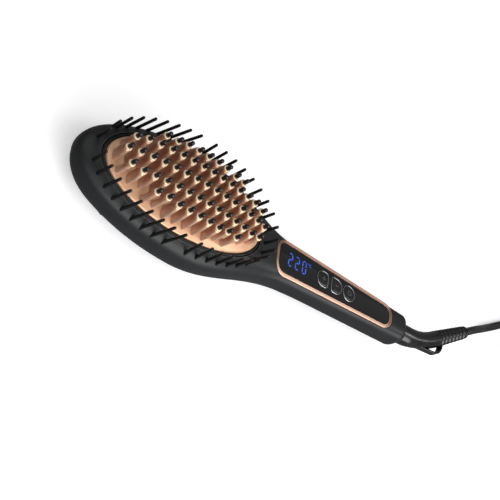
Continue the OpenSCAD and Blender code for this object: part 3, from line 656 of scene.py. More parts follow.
# housing
housing = {
    "length": 276, "headWidth": 71.6, "headBack": 82.5, "headHeight": 37.1, "archRadius": 265,
    "neckLength": 90, "handleWidth": 28.8, "handleEndWidth": 20, "handleTop": 28.6, "handleBottom": 8.5,
    "wall": 2, "seamHeight": 12, "tipRound": 22, "endRound": 8,
    "headMiddle": 21.7, "handleMiddle": 17.6,       # heights of the widest level
    "padDepth": 1, "bellyTip": 600, "bellyNeck": 372,
    # how square the sections and the ends are
    "handlePower": 3.4, "headPower": 2.4, "lowerPower": 2.46, "tipPower": 2.2, "endPower": 2.5,
    "around": 112, "seamEdge": 0.22, "above": 60,       # above is clear of everything
    "ledgeLow": 22, "ledgeHigh": 25, "ledgeA": 75, "ledgeB": 43, "windowA": 52, "windowB": 20,
    "solidEnd": (12, 80, 90),
}
tipX = -housing["length"] / 2
headX = tipX + housing["headBack"]
neckX = headX + housing["neckLength"]
roundX = endX - housing["endRound"]
crownX = headX - 3.7
bellyX = headX + 12.5


def power(value, exponent):
    return 0.0 if value <= 0 else value ** exponent


def smoothMax(a, b, k):
    return (a + b + sqrt((a - b) ** 2 + k * k)) / 2


def smoothMin(a, b, k):
    return (a + b - sqrt((a - b) ** 2 + k * k)) / 2


def headness(x):
    return 1.0 if x < headX else (1 + cos(pi * clamp01((x - headX) / housing["neckLength"]))) / 2


def closing(u, r, n):
    return power(1 - power(clamp01(u / r), n), 1 / n)


def handleShare(x):
    return clamp01((x - neckX) / (roundX - neckX))


def halfWidth(x):
    slim = mix(housing["handleWidth"], housing["handleEndWidth"], handleShare(x)) / 2
    return mix(slim, housing["headWidth"] / 2, headness(x))


def crown(x):
    return smoothMax(housing["headHeight"] - (x - crownX) ** 2 / (2 * housing["archRadius"]),
                     mix(housing["handleTop"], housing["handleTop"] + 0.9, handleShare(x)), 2)


def belly(x):
    radius = housing["bellyTip"] if x < bellyX else housing["bellyNeck"]
    return smoothMin((x - bellyX) ** 2 / (2 * radius) - housing["padDepth"], housing["handleBottom"], 1.5)


def widestHeight(x):
    return mix(housing["handleMiddle"], housing["headMiddle"], headness(x))


def headRound(x):
    return sqrt(max(0, 1 - ((headX - x) / housing["headBack"]) ** 2))


def tipRise(x):
    return closing(tipX + housing["tipRound"] - x, housing["tipRound"], housing["tipPower"])


def endRise(x):
    return closing(x - roundX, housing["endRound"], housing["endPower"])


def upperPower(x):
    return mix(housing["handlePower"], housing["headPower"], headness(x))


def skinPoint(x, angle, d):
    # a place on the housing's skin, taken in by d
    shrink = (housing["length"] - 2 * d) / housing["length"]
    side = headRound(x) if x < headX else endRise(x)
    tall = tipRise(x) * endRise(x)
    w = (halfWidth(x) - d) * side
    m = widestHeight(x)
    c, s = cos(angle), sin(angle)
    upper = s > 0
    n = upperPower(x) if upper else housing["lowerPower"]
    h = (crown(x) - m - d if upper else m - belly(x) - d) * tall
    y = w * copysign(power(abs(c), 2 / n), c)
    z = m + h * copysign(power(abs(s), 2 / n), s)
    return point(x * shrink, y, max(d, z))


def skin(name, d, around, fine):
    # the housing's closed skin: stations closer where the ends round over
    stations = [headX - housing["headBack"] * cos(radians(a)) for a in range(3, 90, 3 * fine)]
    body = 60 // fine
    stations += [mix(headX, roundX, i / body) for i in range(body)]
    stations += [roundX + housing["endRound"] * sin(radians(a)) for a in range(0, 88, 8)]
    pitch = 2 * pi / around
    poles = point(tipX + d, 0, widestHeight(tipX)), point(endX - d, 0, widestHeight(endX))
    return ball(name, around, stations, poles, lambda x, turn: skinPoint(x, (turn + 0.5) * pitch, d))


plate = {
    "x": headX - 9.6, "a": 58.0, "b": 26.3, "around": 144,
    "arch": 266, "across": 65.5, "crownX": headX - 4.6, "height": 38.4,
    "thick": 3, "wall": 1.8, "skirt": 27, "rimRound": 0.9,
    "openingA": 61.6, "openingB": 29.4, "ringSlack": 0.08, "ringSunk": 0.35,
    # the ring's section from its outer foot: share of the way out, depth under the skin, level
    "section": [(1.0, None, 25), (1.0, 0.2), (0.985, 0.0), (0.95, -0.14), (0.92, -0.18), (0.88, -0.12),
                (0.86, 0.1), (0.85, 0.5), (0.84, 1.2), (0.73, 1.2), (0.72, 0.5), (0.69, 0.3), (0.44, 0.2),
                (0.22, 0.3), (0.18, 0.5), (0.16, 1.3), (0.05, 1.5),
                (0.03, None, 27), (-0.85, None, 27), (-0.85, None, 25)],
}


def oval(a, b):
    count = plate["around"]
    return [(plate["x"] + a * cos(2 * pi * i / count), b * sin(2 * pi * i / count))
            for i in range(count)]


def plateHeight(x, y, d=0):
    # the plate arches along X and crowns across Y; d is the depth under its skin
    reach = plate["arch"] - plate["across"] + sqrt((plate["across"] - d) ** 2 - y * y)
    return plate["height"] - plate["arch"] + sqrt(reach ** 2 - (x - plate["crownX"]) ** 2)


bristles = {
    "thick": 2.0, "sides": 16, "pitch": 8, "first": 7.8, "inGroup": 9,
    "footA": 65.5, "footB": 33.2, "topA": 67, "topB": 32.8, "top": 45.7, "arch": 950,
    "seat": 5, "slack": 0.04, "mouth": 1.35, "mouthDeep": 0.35,
    "groups": {(-1, -1): "bristles_tip_near", (-1, 1): "bristles_tip_far", (1, -1): "bristles_neck_near",
               (1, 1): "bristles_neck_far", (1, 0): "neck_bristle"},
}


def bristlePlaces():
    places = [(sx, sy, k) for sx in (-1, 1) for sy in (-1, 1) for k in range(bristles["inGroup"])]
    return places + [(1, 0, None)]


def rimAngles(a, b):
    # angles on an oval, in degrees, against the length along it
    table = [(0.0, 0.0)]
    for i in range(90):
        t0, t1 = radians(i), radians(i + 1)
        step = hypot(a * (cos(t1) - cos(t0)), b * (sin(t1) - sin(t0)))
        table.append((table[-1][0] + step, i + 1.0))
    return table


footTable = rimAngles(bristles["footA"], bristles["footB"])
topTable = rimAngles(bristles["topA"], bristles["topB"])


def rimHeight(x, y):
    m = widestHeight(x)
    n = housing["headPower"]
    return m + (crown(x) - m) * power(1 - power(abs(y) / halfWidth(x), n), 1 / n)


def bristleLine(sx, sy, k):
    # foot and end of a bristle: sx is -1 towards the tip, sy is -1 on the near side
    if k is None:
        foot = top = 0.0
    else:
        foot = radians(ramp(bristles["first"] + k * bristles["pitch"], footTable))
        top = radians(ramp(bristles["first"] + 0.2 + k * bristles["pitch"] * 1.045, topTable))
    x, y = plate["x"] + sx * bristles["footA"] * cos(foot), bristles["footB"] * sin(foot)
    tx, ty = plate["x"] + sx * bristles["topA"] * cos(top), bristles["topB"] * sin(top)
    return (Vector((x, sy * y, rimHeight(x, y))),
            Vector((tx, sy * ty, bristles["top"] - (tx - plate["x"]) ** 2 / bristles["arch"])))


def mark(piece, name, share):
    # gives each point of a piece its share of a tone
    layer = piece.data.attributes.new(name, "FLOAT", "POINT")
    for vertex in piece.data.vertices:
        layer.data[vertex.index].value = share(vertex.co)


def standOn(piece, foot, end):
    # turns a piece that was made upright at the origin into its place
    turn = Vector((0, 0, 1)).rotation_difference((end - foot).normalized())
    piece.data.transform(Matrix.Translation(foot * mm) @ turn.to_matrix().to_4x4())
    return piece


panel = {
    "height": 29.6, "across": 42, "sunk": 0.35, "seat": 25, "floor": 22.6, "floorOut": 1.4,
    "x0": neckX - 22, "x1": endX - 18.8, "width": 24.6, "endWidth": 17.6,
    "corner": 8.6, "endCorner": 7.6, "cornerSteps": 14, "band": 2.3, "gap": 0.1,
    "glassFrom": 10, "glassTo": 140, "glassSides": 360,
    "buttonX": [neckX + 19 + k * 11.9 for k in range(3)],
    "buttonHalf": 4.6, "flat": 3.7, "capGap": 0.35, "rim": 0.4, "buttonWay": 0.95, "shellWay": 0.4,
    "displayFrom": neckX - 14.5, "displayTo": neckX + 8.5, "displayWay": 7, "wayLow": 10,
}
buttonNames = ("plus", "minus", "power")
trimSlope = atan((panel["width"] - panel["endWidth"]) / 2
                      / (panel["x1"] - panel["x0"] - panel["corner"] - panel["endCorner"]))


def arc(x, y, r, start, end, steps):
    return [(x + r * cos(mix(start, end, i / steps)), y + r * sin(mix(start, end, i / steps)))
            for i in range(steps + 1)]


def trimOutline(d):
    y0, y1 = panel["width"] / 2 - panel["corner"], panel["endWidth"] / 2 - panel["endCorner"]
    r0, r1 = panel["corner"] - d, panel["endCorner"] - d
    x0, x1 = panel["x0"] + panel["corner"], panel["x1"] - panel["endCorner"]
    quarter, steps = pi / 2 - trimSlope, panel["cornerSteps"]
    # the long sides get points of their own, so that bands laid along them stay even
    ends = arc(x0, y0, r0, pi, quarter, steps), arc(x1, y1, r1, quarter, 0, steps)
    (fromX, fromY), (toX, toY) = ends[0][-1], ends[1][0]
    side = [(mix(fromX, toX, i / 8), mix(fromY, toY, i / 8)) for i in range(1, 8)]
    half = ends[0] + side + ends[1]
    return half + [(x, -y) for x, y in reversed(half)]


def underCrown(y, d=0.0):
    return panel["height"] - panel["across"] + sqrt((panel["across"] - d) ** 2 - y * y)


def buttonOutline(k, d, count=56):
    # the first button is straight on its right side, the second on its left, and the third is round
    r, f = panel["buttonHalf"] + d, panel["flat"] + d
    side = (1, -1, 0)[k]
    out = []
    for i in range(count):
        a = 2 * pi * i / count
        c, s = cos(a), sin(a)
        if side * c > 0:
            # evenly spaced round a squared-off half
            reach = (abs(c / f) ** 5 + abs(s / r) ** 5) ** (-1 / 5)
            out.append((panel["buttonX"][k] + reach * c, reach * s))
        else:
            out.append((panel["buttonX"][k] + r * c, r * s))
    return out


postTurn = radians(50)
screws = {
    # four posts on an oval round the plate, one at the neck, and a bore in the solid end
    "posts": [(plate["x"] + sx * 60 * cos(postTurn), sy * 28 * sin(postTurn))
              for sx in (-1, 1) for sy in (-1, 1)] + [(neckX - 36.5, 0)],
    "end": (endX - 8, 0),
    "bore": 1.2, "boreTop": 18.5, "endBoreTop": 15, "head": 2.4, "headDeep": 2.5, "endHeadDeep": 1.5,
    "frontPost": 3, "rearPost": 4, "postFoot": 25,
    "boardPosts": [(neckX + 10.2, 0), (panel["buttonX"][1] + 5.95, 0)],
    "boardRests": [(x, y) for x in (6.5, 106) for y in (-5, 5)],
    "boardBore": 0.9, "standHalf": 2, "standTop": 13,
}


def endBlock():
    size = housing["solidEnd"]
    block = start("cube", "solidEnd", size=1, location=point(endX - size[0] / 2, 0, 30))
    block.scale = [side * mm for side in size]
    return settle(block)


def cavity(ribs):
    # the hollow inside the housing, less what stays solid
    hollow = skin("hollow", housing["wall"], 64, 2)
    for rib in ribs:
        cut(hollow, rib)
    return hollow


def windowCutter():
    return slab("opening", oval(housing["windowA"], housing["windowB"]), 0, housing["above"] + 2)


def ledgeRing():
    top, ledge = housing["above"], housing["ledgeHigh"]
    ring = slab("ledgeRing", oval(housing["ledgeA"], housing["ledgeB"]), housing["ledgeLow"], top)
    cut(ring, slab("pocket", oval(plate["openingA"], plate["openingB"]), ledge, top + 1))
    return cut(ring, windowCutter())


def halfOf(name, keepAbove):
    # one side of the seam, with its edge broken so that the seam shows as a fine groove
    half, height = skin(name, 0, housing["around"], 1), housing["seamHeight"]
    editAll(half, ("bisect", {"plane_co": (0, 0, height * mm), "plane_no": (0, 0, 1), "use_fill": True,
                              "clear_inner": keepAbove, "clear_outer": not keepAbove}))
    roundEdges(half, housing["seamEdge"], 2,
               lambda a, b: abs(a.z - height) < sameLevel and abs(b.z - height) < sameLevel)
    return half


def makeFrontShell():
    front, top = halfOf("frontShell", True), housing["above"]
    floor = slab("panelFloor", trimOutline(-panel["floorOut"]), panel["floor"], top)
    ribs = [ledgeRing(), floor, endBlock()]
    ribs += [rod("post", 24, screws["frontPost"], -1, screws["postFoot"] if i < 4 else top, at)
             for i, at in enumerate(screws["posts"])]
    cut(front, cavity(ribs))
    cut(front, slab("ringPocket", oval(plate["openingA"], plate["openingB"]), housing["ledgeHigh"], top))
    cut(front, windowCutter())
    cut(front, slab("trimRecess", trimOutline(-panel["gap"]), panel["seat"], top))
    for k in range(3):
        cut(front, slab("buttonWay", buttonOutline(k, panel["shellWay"]), panel["wayLow"], top))
    x0, x1, y = panel["displayFrom"], panel["displayTo"], panel["displayWay"]
    cut(front, slab("displayWay", [(x0, -y), (x1, -y), (x1, y), (x0, y)], panel["wayLow"], top))
    snug, seat = bristles["thick"] / 2 + bristles["slack"], bristles["seat"]
    for place in bristlePlaces():
        line = bristleLine(*place)
        cut(front, standOn(rod("hole", 20, snug, -seat, 0), *line))
        cut(front, standOn(rod("mouth", 20, bristles["mouth"], -bristles["mouthDeep"], seat), *line))
    for at in screws["posts"]:
        cut(front, rod("bore", 20, screws["bore"], 0, screws["boreTop"], at))
    cut(front, rod("bore", 20, screws["bore"], 0, screws["endBoreTop"], screws["end"]))
    for radius, fromX, toX in relief["ways"]:
        cut(front, lyingRod("hubWay", 40, radius, fromX, toX, 0, relief["height"]))
    give(front, "brush", "shell_plastic", "front_shell")
    print("front shell has", len(front.data.polygons), "faces")


def makeRearCover():
    cover = halfOf("rearCover", False)
    ribs = [rod("post", 24, screws["rearPost"], -1, housing["above"], at) for at in screws["posts"]]
    cut(cover, cavity(ribs + [endBlock()]))
    for at in screws["boardPosts"] + screws["boardRests"]:
        cut(cover, rod("stand", 24, screws["standHalf"], belly(at[0]) + 1, screws["standTop"], at), "UNION")
    for at in screws["boardPosts"]:
        cut(cover, rod("bore", 16, screws["boardBore"], 10.1, 14, at))
    heads = [(at, screws["headDeep"]) for at in screws["posts"]] + [(screws["end"], screws["endHeadDeep"])]
    for at, deep in heads:
        cut(cover, rod("bore", 20, screws["bore"], 0, 13, at))
        cut(cover, rod("head", 28, screws["head"], -1, housing["seamHeight"] - deep, at))
    give(cover, "brush", "cover_plastic", "rear_cover")
    print("rear cover has", len(cover.data.polygons), "faces")


makeFrontShell()
makeRearCover()


# heated plate and its ring
def makePlate():
    # a row has its inset, its share of the way out, its depth under the skin, and its drop at the rim
    r, wall, thick = plate["rimRound"], plate["wall"], plate["thick"]
    rows = [(r, i / 12, 0, 0) for i in range(1, 13)]
    for bend in range(15, 91, 15):
        a = radians(bend)
        rows.append((r * (1 - sin(a)), 1, 0, r * (1 - cos(a))))
    rows += [(0, 1, None, 0), (wall, 1, None, 0), (wall, 1, thick, 0)]
    rows += [(wall, 1 - i / 9, thick, 0) for i in range(1, 9)]

    def place(row, turn):
        inset, share, deep, drop = row
        a = 2 * pi * turn / plate["around"]
        x = plate["x"] + (plate["a"] - inset) * share * cos(a)
        y = (plate["b"] - inset) * share * sin(a)
        return point(x, y, plate["skirt"] if deep is None else plateHeight(x, y, deep) - drop)
    poles = [point(plate["x"], 0, plateHeight(plate["x"], 0, deep)) for deep in (0, thick)]
    piece = ball("heatedPlate", plate["around"], rows, poles, place)
    give(piece, "brush", "copper_plate", "heating_plate", angle=40)


def skinHeight(x, y):
    # height of the housing's skin over a place on the head
    side = headRound(x) if x < headX else 1.0
    n = upperPower(x)
    m = widestHeight(x)
    return m + (crown(x) - m) * tipRise(x) * power(1 - power(abs(y) / (halfWidth(x) * side), n), 1 / n)


def makePlateRing():
    a, b = plate["a"], plate["b"]
    outA, outB = plate["openingA"] - plate["ringSlack"], plate["openingB"] - plate["ringSlack"]
    # spots on the raised lip, which get a lighter grey painted highlight
    paintedLitEdge = set()

    def place(turn, side):
        angle = 2 * pi * turn / plate["around"]
        share, under, *level = plate["section"][side]
        x = plate["x"] + mix(a, outA, share) * cos(angle)
        y = mix(b, outB, share) * sin(angle)
        if under is None:
            return point(x, y, level[0])
        inner = plateHeight(plate["x"] + a * cos(angle), b * sin(angle)) - plate["ringSunk"]
        spot = point(x, y, mix(inner, skinHeight(x, y), clamp01(share * 1.6)) - under)
        if under < 0:
            paintedLitEdge.add(tuple(round(c, 7) for c in spot))
        return spot
    piece = hoop("plateRing", plate["around"], len(plate["section"]), place)
    mark(piece, "paintedLipHighlight", lambda co: tuple(round(c, 7) for c in co) in paintedLitEdge)
    give(piece, "brush", "ring_plastic", "plate_ring", angle=50)


makePlate()
makePlateRing()
print("plate and ring are on")


# fins with their cool tips, and the bristles
fins = {
    "pitch": 7.6, "thick": 3.8, "wide": 8.0, "collar": 4.4, "tipHeight": 54.7,
    "pinLength": 3.9, "pinThick": 2.6, "pinRise": 0.25, "shankHalf": 0.6, "shankDeep": 3,
    "arch": 218, "across": 178, "middle": 6.85, "lean": 0.15, "sunk": 1.2,
    "rowY": (-19.6, -10.3, 0, 10.3, 19.6), "first": (3, 0.5, 0, 0.5, 3), "count": (9, 14, 15, 14, 9),
    "inset": (1.3, 1.7, 0, 1.7, 1.3), "narrow": (2, 1, 0, 1, 2),
    "slimWide": 4.5, "shoulder": 0.4, "shoulderFrom": 0.8, "shoulderTo": 2.4, "fullDepth": 9, "flare": 1.07,
    "sides": 28,
    "depths": (0.8, 0.85, 1.0, 1.25, 1.6, 2.0, 2.4, 3.5, 5, 7, 9, 11, 13.5, 16, 19, 24),
}


def isSlender(row, k):
    return k < fins["narrow"][row] or k >= fins["count"][row] - fins["narrow"][row]


def finPlace(row, k):
    # top of a fin's cool tip, and how far the fin leans
    angle = (fins["first"][row] + k - fins["middle"]) * fins["pitch"] / fins["arch"]
    y = fins["rowY"][row]
    if isSlender(row, k):
        y -= copysign(fins["inset"][row], y) if y else 0
    top = Vector((plate["x"] - 2.3 + fins["arch"] * sin(angle), y,
                  fins["tipHeight"] - fins["arch"] * (1 - cos(angle)) - y * y / fins["across"]))
    return top, fins["lean"] * angle


def finWidth(half, deep):
    # half the width at a depth under the collar's top: a round shoulder, then widening to the full width
    c, low, high = fins["collar"] / 2, fins["shoulderTo"], fins["shoulderFrom"]
    shoulder = mix(c, half, fins["shoulder"])
    if deep < low:
        return mix(c, shoulder, sqrt(1 - (1 - clamp01((deep - high) / (low - high))) ** 2))
    return mix(shoulder, half, sin(pi / 2 * clamp01((deep - low) / (fins["fullDepth"] - low))))


def makeFin(name, half):
    # a plump blade, drawn up through round shoulders into the collar that holds the tip
    c, top = fins["collar"] / 2, -fins["pinLength"]
    rim = ((0.25, c * 0.55), (0, c * 0.62), (0, c - 0.2), (0.06, c - 0.06), (0.22, c))
    rows = [(deep, r, r) for deep, r in rim]
    for deep in fins["depths"]:
        thick = mix(c, fins["thick"] / 2, clamp01((deep - 1) / 5))
        flare = mix(1, fins["flare"], clamp01((deep - 11) / 5) ** 2)
        rows.append((deep, thick, finWidth(half, deep) * flare))

    def place(row, turn):
        deep, thick, wide = row
        a = 2 * pi * (turn + 0.5) / fins["sides"]
        return point(thick * cos(a), wide * sin(a), top - deep)

    def paintedCollarHighlight(co):
        # painted highlight: full on the collar's top, then along both edges, fading towards the foot
        deep = top - co.z / mm
        paintedLitEdge = clamp01((abs(co.y / mm) / finWidth(half, deep) - 0.72) / 0.28) * clamp01(1 - deep / 11)
        return 1 if deep < 0.3 else max(0.5 * paintedLitEdge, 0.25 * clamp01(1 - (deep - 0.3) / 2.5))
    poles = [point(0, 0, top - rows[end][0]) for end in (0, -1)]
    fin = ball(name, fins["sides"], rows, poles, place)
    mark(fin, "paintedCollarHighlight", paintedCollarHighlight)
    # painted reflection: the blade's colour lightens towards its foot
    mark(fin, "paintedFootReflection", lambda co: clamp01((top - co.z / mm - 4) / 7))
    return fin


def makePin(name):
    # the black tip and the shank that holds it in the fin
    foot, thick = -fins["pinLength"], fins["pinThick"]
    pin = rod(name, 16, thick / 2, foot - 0.3, fins["pinRise"], capEdge=thick * 0.4)
    shank = rod("shank", 10, fins["shankHalf"], foot - fins["shankDeep"], foot - 0.2)
    return joined(name, [pin, shank])


def makeFins():
    wide = makeFin("wideFin", fins["wide"] / 2)
    slim = makeFin("slimFin", fins["slimWide"] / 2)
    pin = makePin("coolTip")
    for row in range(5):
        rowFins, rowPins = [], []
        for k in range(fins["count"][row]):
            top, lean = finPlace(row, k)
            for model, made in ((slim if isSlender(row, k) else wide, rowFins), (pin, rowPins)):
                piece = copyOf(model, model.name)
                piece.data.transform(Matrix.Translation(top * mm) @ Matrix.Rotation(lean, 4, "Y"))
                made.append(piece)
            # the foot ends inside the plate
            for vertex in rowFins[-1].data.vertices:
                x, y, z = vertex.co / mm
                vertex.co.z = max(z, plateHeight(x, y) - fins["sunk"]) * mm
        number = str(row + 1)
        give(joined("finRow" + number, rowFins), "brush", "copper_fins", "fin_row_" + number, angle=50)
        give(joined("tipRow" + number, rowPins), "brush", "cool_tips", "pin_row_" + number, angle=50)
    for spare in (wide, slim, pin):
        bpy.data.objects.remove(spare)


def makeBristles():
    made = {key: [] for key in bristles["groups"]}
    for sx, sy, k in bristlePlaces():
        foot, end = bristleLine(sx, sy, k)
        reach, thick = (end - foot).length, bristles["thick"]
        piece = rod("bristle", bristles["sides"], thick / 2, -bristles["seat"], reach, capEdge=thick * 0.42)
        # a slight taper, as the nylon leaves its mould
        for vertex in piece.data.vertices:
            share = min(1, 1.04 - 0.12 * clamp01(vertex.co.z / reach / mm))
            vertex.co.x *= share
            vertex.co.y *= share
        made[(sx, sy)].append(standOn(piece, foot, end))
    for key, node in bristles["groups"].items():
        give(joined(node.replace("_", "-") + "-rods", made[key]), "brush", "bristles", node, angle=50)


makeFins()
makeBristles()
print("fins, tips and bristles are on")


# trim, panel, buttons and display
def makeBand(name, outlines, section, finish, node):
    # outlines give the same points at several insets; section picks one, and a depth under the crown
    def place(turn, side):
        inset, below = section[side]
        x, y = outlines[inset][turn]
        return point(x, y, panel["seat"] if below is None else underCrown(y) - below)
    give(hoop(name, len(outlines[0]), len(section), place), "brush", finish, node, angle=35)


def makeTrim():
    outlines = [trimOutline(d) for d in (0, 0.25, 0.95, 1.1, 2.1, 2.3)]
    section = [(0, None), (0, 0.28), (1, 0.03), (2, 0.03), (2, 0.12), (3, 0.45), (4, 0.45), (5, 0.65),
               (5, None)]
    makeBand("trimBand", outlines, section, "rose_trim", "trim_ring")


def makePanel():
    glass = lyingRod("controlPanel", panel["glassSides"], panel["across"] - panel["sunk"],
                     panel["glassFrom"], panel["glassTo"], 0, panel["height"] - panel["across"])
    outline = trimOutline(panel["band"] + panel["gap"])
    cut(glass, slab("outline", outline, panel["seat"], housing["above"]), "INTERSECT")
    for k in range(3):
        cut(glass, slab("buttonWay", buttonOutline(k, panel["buttonWay"]), 20, housing["above"]))
    give(glass, "brush", "panel_gloss", "control_panel", angle=35)


def makeRims():
    inner, outer = panel["capGap"], panel["capGap"] + panel["rim"]
    section = [(0, None), (0, 0.2), (1, 0.06), (2, 0.06), (3, 0.2), (3, None)]
    for k, name in enumerate(buttonNames):
        outlines = [buttonOutline(k, d) for d in (outer, outer - 0.12, inner + 0.12, inner)]
        makeBand(name + "Rim", outlines, section, "button_rims", "rim_" + name)


cap = {
    "count": 56, "lift": 0.25, "topInset": 0.8,
    "edge": ((0.55, 0.0), (0.25, 0.10), (0.06, 0.30), (0.0, 0.60)),
    "flange": 0.9, "flangeTop": 22.4, "flangeLow": 21.6, "stem": 2.5, "stemLow": 19.8,
}


def makeCap(k, name):
    # crowned top with a rounded edge, then the wall, the flange that holds it in and the stem
    middle, flange, low = panel["buttonX"][k], -cap["flange"], cap["flangeLow"]
    rows = [("top", cap["topInset"], i / 5) for i in range(1, 6)]
    rows += [("edge", *step) for step in cap["edge"]]
    rows += [("flat", 0, cap["flangeTop"]), ("flat", flange, cap["flangeTop"]), ("flat", flange, low)]
    rows += [("stem", cap["stem"], low), ("stem", cap["stem"], cap["stemLow"])]

    def place(row, turn):
        kind, inset, value = row
        if kind == "stem":
            a = 2 * pi * turn / cap["count"]
            return point(middle + inset * cos(a), inset * sin(a), value)
        x, y = buttonOutline(k, -inset, cap["count"])[turn]
        if kind == "flat":
            return point(x, y, value)
        if kind == "top":
            x, y, value = mix(middle, x, value), y * value, 0
        return point(x, y, underCrown(y, -cap["lift"]) - value)
    poles = point(middle, 0, underCrown(0, -cap["lift"])), point(middle, 0, cap["stemLow"])
    return ball(name + "Cap", cap["count"], rows, poles, place)


def laidOn(piece, lift, thick):
    # drapes a flat mark over the panel's or a cap's crown
    for vertex in piece.data.vertices:
        x, y, z = vertex.co / mm
        vertex.co.z = (underCrown(y, -lift) + (thick if z > 0.5 else -0.15)) * mm
    return piece


def bar(x0, y0, x1, y1, name="bar"):
    x, y = (x0 + x1) / 2, (y0 + y1) / 2
    return slab(name, [(x0, y0), (x, y0), (x1, y0), (x1, y), (x1, y1), (x, y1), (x0, y1), (x0, y)], 0, 1)


def openRing(name, x, y, outer, inner, first, last, steps):
    # part of a ring, between two angles in degrees
    first, last = radians(first), radians(last)
    return slab(name, arc(x, y, outer, first, last, steps) + arc(x, y, inner, last, first, steps), 0, 1)


symbol = {
    "reach": 1.5, "half": 0.22, "thick": 0.1,
    "power": (1.6, 1.2, 125, 415, 24), "powerBar": (0.2, 0.5, 2.1),
}


def makeSymbol(name, x):
    reach, half = symbol["reach"], symbol["half"]
    if name == "plus":
        corner, cross = [(-reach, -half), (-half, -half), (-half, -reach)], []
        for quarter in range(4):
            cross += [(x + a, b) for a, b in corner]
            corner = [(-b, a) for a, b in corner]
        return slab("plusMark", cross, 0, 1)
    if name == "minus":
        return bar(x - reach, -half, x + reach, half, "minusMark")
    half, low, high = symbol["powerBar"]
    ring = openRing("powerRing", x, 0, *symbol["power"])
    return joined("powerMark", [ring, bar(x - half, low, x + half, high)])


def makeButtons():
    for k, name in enumerate(buttonNames):
        give(makeCap(k, name), name + "_key", "button_caps", "button_" + name, angle=40)
        sign = laidOn(makeSymbol(name, panel["buttonX"][k]), cap["lift"], symbol["thick"])
        give(sign, name + "_key", "symbol_print", slot="button_caps")


display = {
    "digits": [("2", 22.2, 26.0), ("2", 28.2, 32.0), ("0", 34.3, 38.0)],
    "tall": 9.0, "stroke": 0.8, "gap": 0.28, "lift": -0.33, "thick": 0.04,
    "lit": {"2": "abged", "0": "abcdef"},
    # place, outer and inner radius, first and last angle, steps
    "degree": (39.4, 3.9, 0.55, 0.26, 0, 350, 14),
    "celsius": (41.5, 3.2, 1.1, 0.7, 55, 305, 12),
}


def segment(x0, y0, x1, y1):
    # a bar with pointed ends, along X or along Y
    w = display["stroke"] / 2
    if abs(x1 - x0) > abs(y1 - y0):
        shape = [(x0, y0), (x0 + w, y0 - w), (x1 - w, y0 - w), (x1, y0), (x1 - w, y0 + w), (x0 + w, y0 + w)]
    else:
        shape = [(x0, y0), (x0 + w, y0 + w), (x0 + w, y1 - w), (x0, y1), (x0 - w, y1 - w), (x0 - w, y0 + w)]
    return slab("segment", shape, 0, 1)


def makeDisplay():
    half, g, w = display["tall"] / 2, display["gap"], display["stroke"] / 2
    parts = []
    for digit, x0, x1 in display["digits"]:
        left, right, low, high = x0 + w, x1 - w, -half + w, half - w
        lines = {letter: (left + g, y, right - g, y) for letter, y in (("a", high), ("g", 0), ("d", low))}
        for upper, lower, x in (("f", "e", left), ("b", "c", right)):
            lines[upper], lines[lower] = (x, g, x, high - g), (x, low + g, x, -g)
        parts += [segment(*lines[letter]) for letter in display["lit"][digit]]
    parts += [openRing("degree", *display["degree"]), openRing("celsius", *display["celsius"])]
    figures = laidOn(joined("displayFigures", parts), display["lift"], display["thick"])
    give(figures, "brush", "display_light", slot="panel_gloss")


makeTrim()
makePanel()
makeRims()
makeButtons()
makeDisplay()
print("panel, trim, buttons and display are on")


# strain relief and plug
def reliefRadius(s):
    stops = [(6, relief["rootRadius"]), (12, 6.4), (18, 6.0), (26, 5.8), (37, 5.7), (reliefLength, 4.4)]
    return ramp(s, stops)


def makeRelief():
    pitch = (reliefLength - 1 - relief["ribStart"]) / relief["ribs"]
    root, dip = relief["rootX"] - endX, -relief["ribDepth"]
    plain = (root, -1.5, 0, 1.5, 3, 4.5, 6, 7.5, 9, 10.5, 12, 14, 16, 18, 20.5, 23, 26, 29, 32, 34.5)
    steps = [(s, 0) for s in plain]         # how far along, and what is added to the radius there
    for k in range(relief["ribs"]):
        s = relief["ribStart"] + k * pitch
        steps += [(s + pitch * share, extra) for share, extra in
                  ((0, 0), (0.16, 0.16), (0.42, 0.16), (0.55, 0.0), (0.62, dip), (0.90, dip))]
    steps += [(reliefLength - 1, 0), (reliefLength - 0.3, 0), (reliefLength, -0.3)]
    rows = [(root, relief["rootRadius"] - 0.5)] + [(s, reliefRadius(s) + extra) for s, extra in steps]
    height, half = relief["height"], relief["loopHeight"] / 2
    boot = tube("reliefBoot", relief["sides"], rows, reliefAt, height)
    cx, cy = relief["loopAt"]
    r, band = relief["loopRadius"], relief["loopBand"]
    down, up = -pi / 2, radians(24)
    hook = arc(cx, cy, r, down, up, 24) + arc(cx, cy, r - band, up, down, 24)
    outline = [relief["loopFrom"]] + hook + relief["loopTo"]
    loop = slab("hangingLoop", [(endX + x, y) for x, y in outline], height - half, height + half)
    softEdges(loop, 0.5, 3, 50)
    give(joined("strainRelief", [boot, loop]), "cord", "relief_rubber", "strain_relief", angle=50)


def softEdges(piece, width, segments, sharper):
    # rounds every edge that turns more than an angle in degrees
    modify(piece, "BEVEL", width=width * mm, segments=segments, limit_method="ANGLE",
           angle_limit=radians(sharper))


plug = {
    "long": 36, "wide": 26.4, "neck": 12, "shoulder": 20, "from": 8, "height": 6.9, "edge": 3.2,
    "pinGap": 18.6, "pinThick": 4, "pinRoot": 6, "pinReach": 19, "pinSlack": 0.01,
    # along the neck, and its radius there
    "sleeve": [(0, 3.4), (0.6, 4.0), (3, 4.25), (6, 4.7), (9, 5.3), (12, 5.8), (16, 6.0)],
}


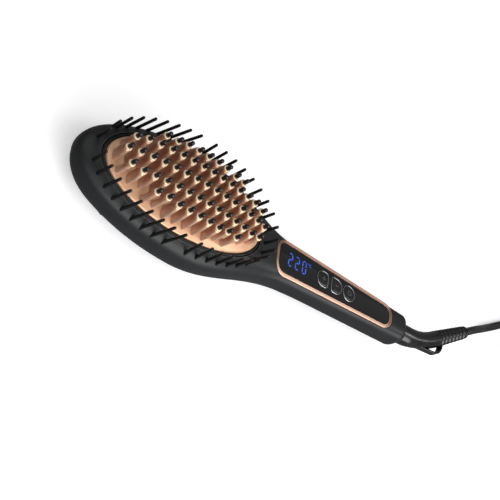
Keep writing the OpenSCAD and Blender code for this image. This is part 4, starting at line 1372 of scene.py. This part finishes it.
def makePlug():
    turn = Matrix.Translation(Vector((plugAt.x, plugAt.y, 0)) * mm) @ Matrix.Rotation(plugHeading, 4, "Z")
    half, neck, height, pinHalf = plug["wide"] / 2, plug["neck"] / 2, plug["height"], plug["pinThick"] / 2
    root, far = plug["long"] - plug["pinRoot"], plug["long"] + plug["pinReach"]
    side = [(plug["from"], -neck), (plug["shoulder"], -half), (plug["long"], -half)]
    body = slab("plugBody", side + [(x, -y) for x, y in reversed(side)], 0, 2 * height)
    softEdges(body, plug["edge"], 5, 30)
    pins = []
    for y in (-plug["pinGap"] / 2, plug["pinGap"] / 2):
        cut(body, lyingRod("pinWay", 32, pinHalf + plug["pinSlack"], root, 60, y, height))
        pins.append(lyingRod("pin", 28, pinHalf, root, far, y, height))
        roundEdges(pins[-1], plug["pinThick"] * 0.44, 5, lambda a, b: min(a.x, b.x) > far - sameLevel)
    body = joined("plugBody", [body, tube("plugNeck", 32, plug["sleeve"], lambda s: (s, 0, 0), height)])
    pins = joined("plugPins", pins)
    for piece in (body, pins):
        piece.data.transform(turn)
    give(body, "cord", "plug_plastic", "plug_body", angle=40)
    give(pins, "cord", "plug_metal", "plug_pins", angle=50)
    return body, pins


makeRelief()
plugBody, plugPins = makePlug()
tuple(cordBegin * mm)
print("strain relief and plug are on")


# pieces that keep the CAD's shape
carried = {
    "heater_ceramic": ["heater_tip", "heater_neck", "board_fuse"],
    "inner_steel": ["heater_clamp", "thermal_fuse"],
    "screw_steel": ["clamp_screws", "board_screws", "head_screws", "handle_screws"],
    "sensor_bead": ["thermistor"],
    "shield_board": ["heat_shield"],
    "lead_sleeve": ["heater_leads"],
    "circuit_board": ["control_board"],
    "dark_component": ["display_module", "switch_plus", "switch_minus", "switch_power"],
    "relay_case": ["relay"],
    "capacitor_case": ["capacitor"],
    "hub_plastic": ["cord_hub", "plunger_plus", "plunger_minus", "plunger_power"],
    "contact_brass": ["slip_rings", "contact_fingers"],
}
for finish, nodes in carried.items():
    for node in nodes:
        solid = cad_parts[node]
        for place in solid.material_slots:
            place.material = finishes[finish]
print("carried pieces are dressed")
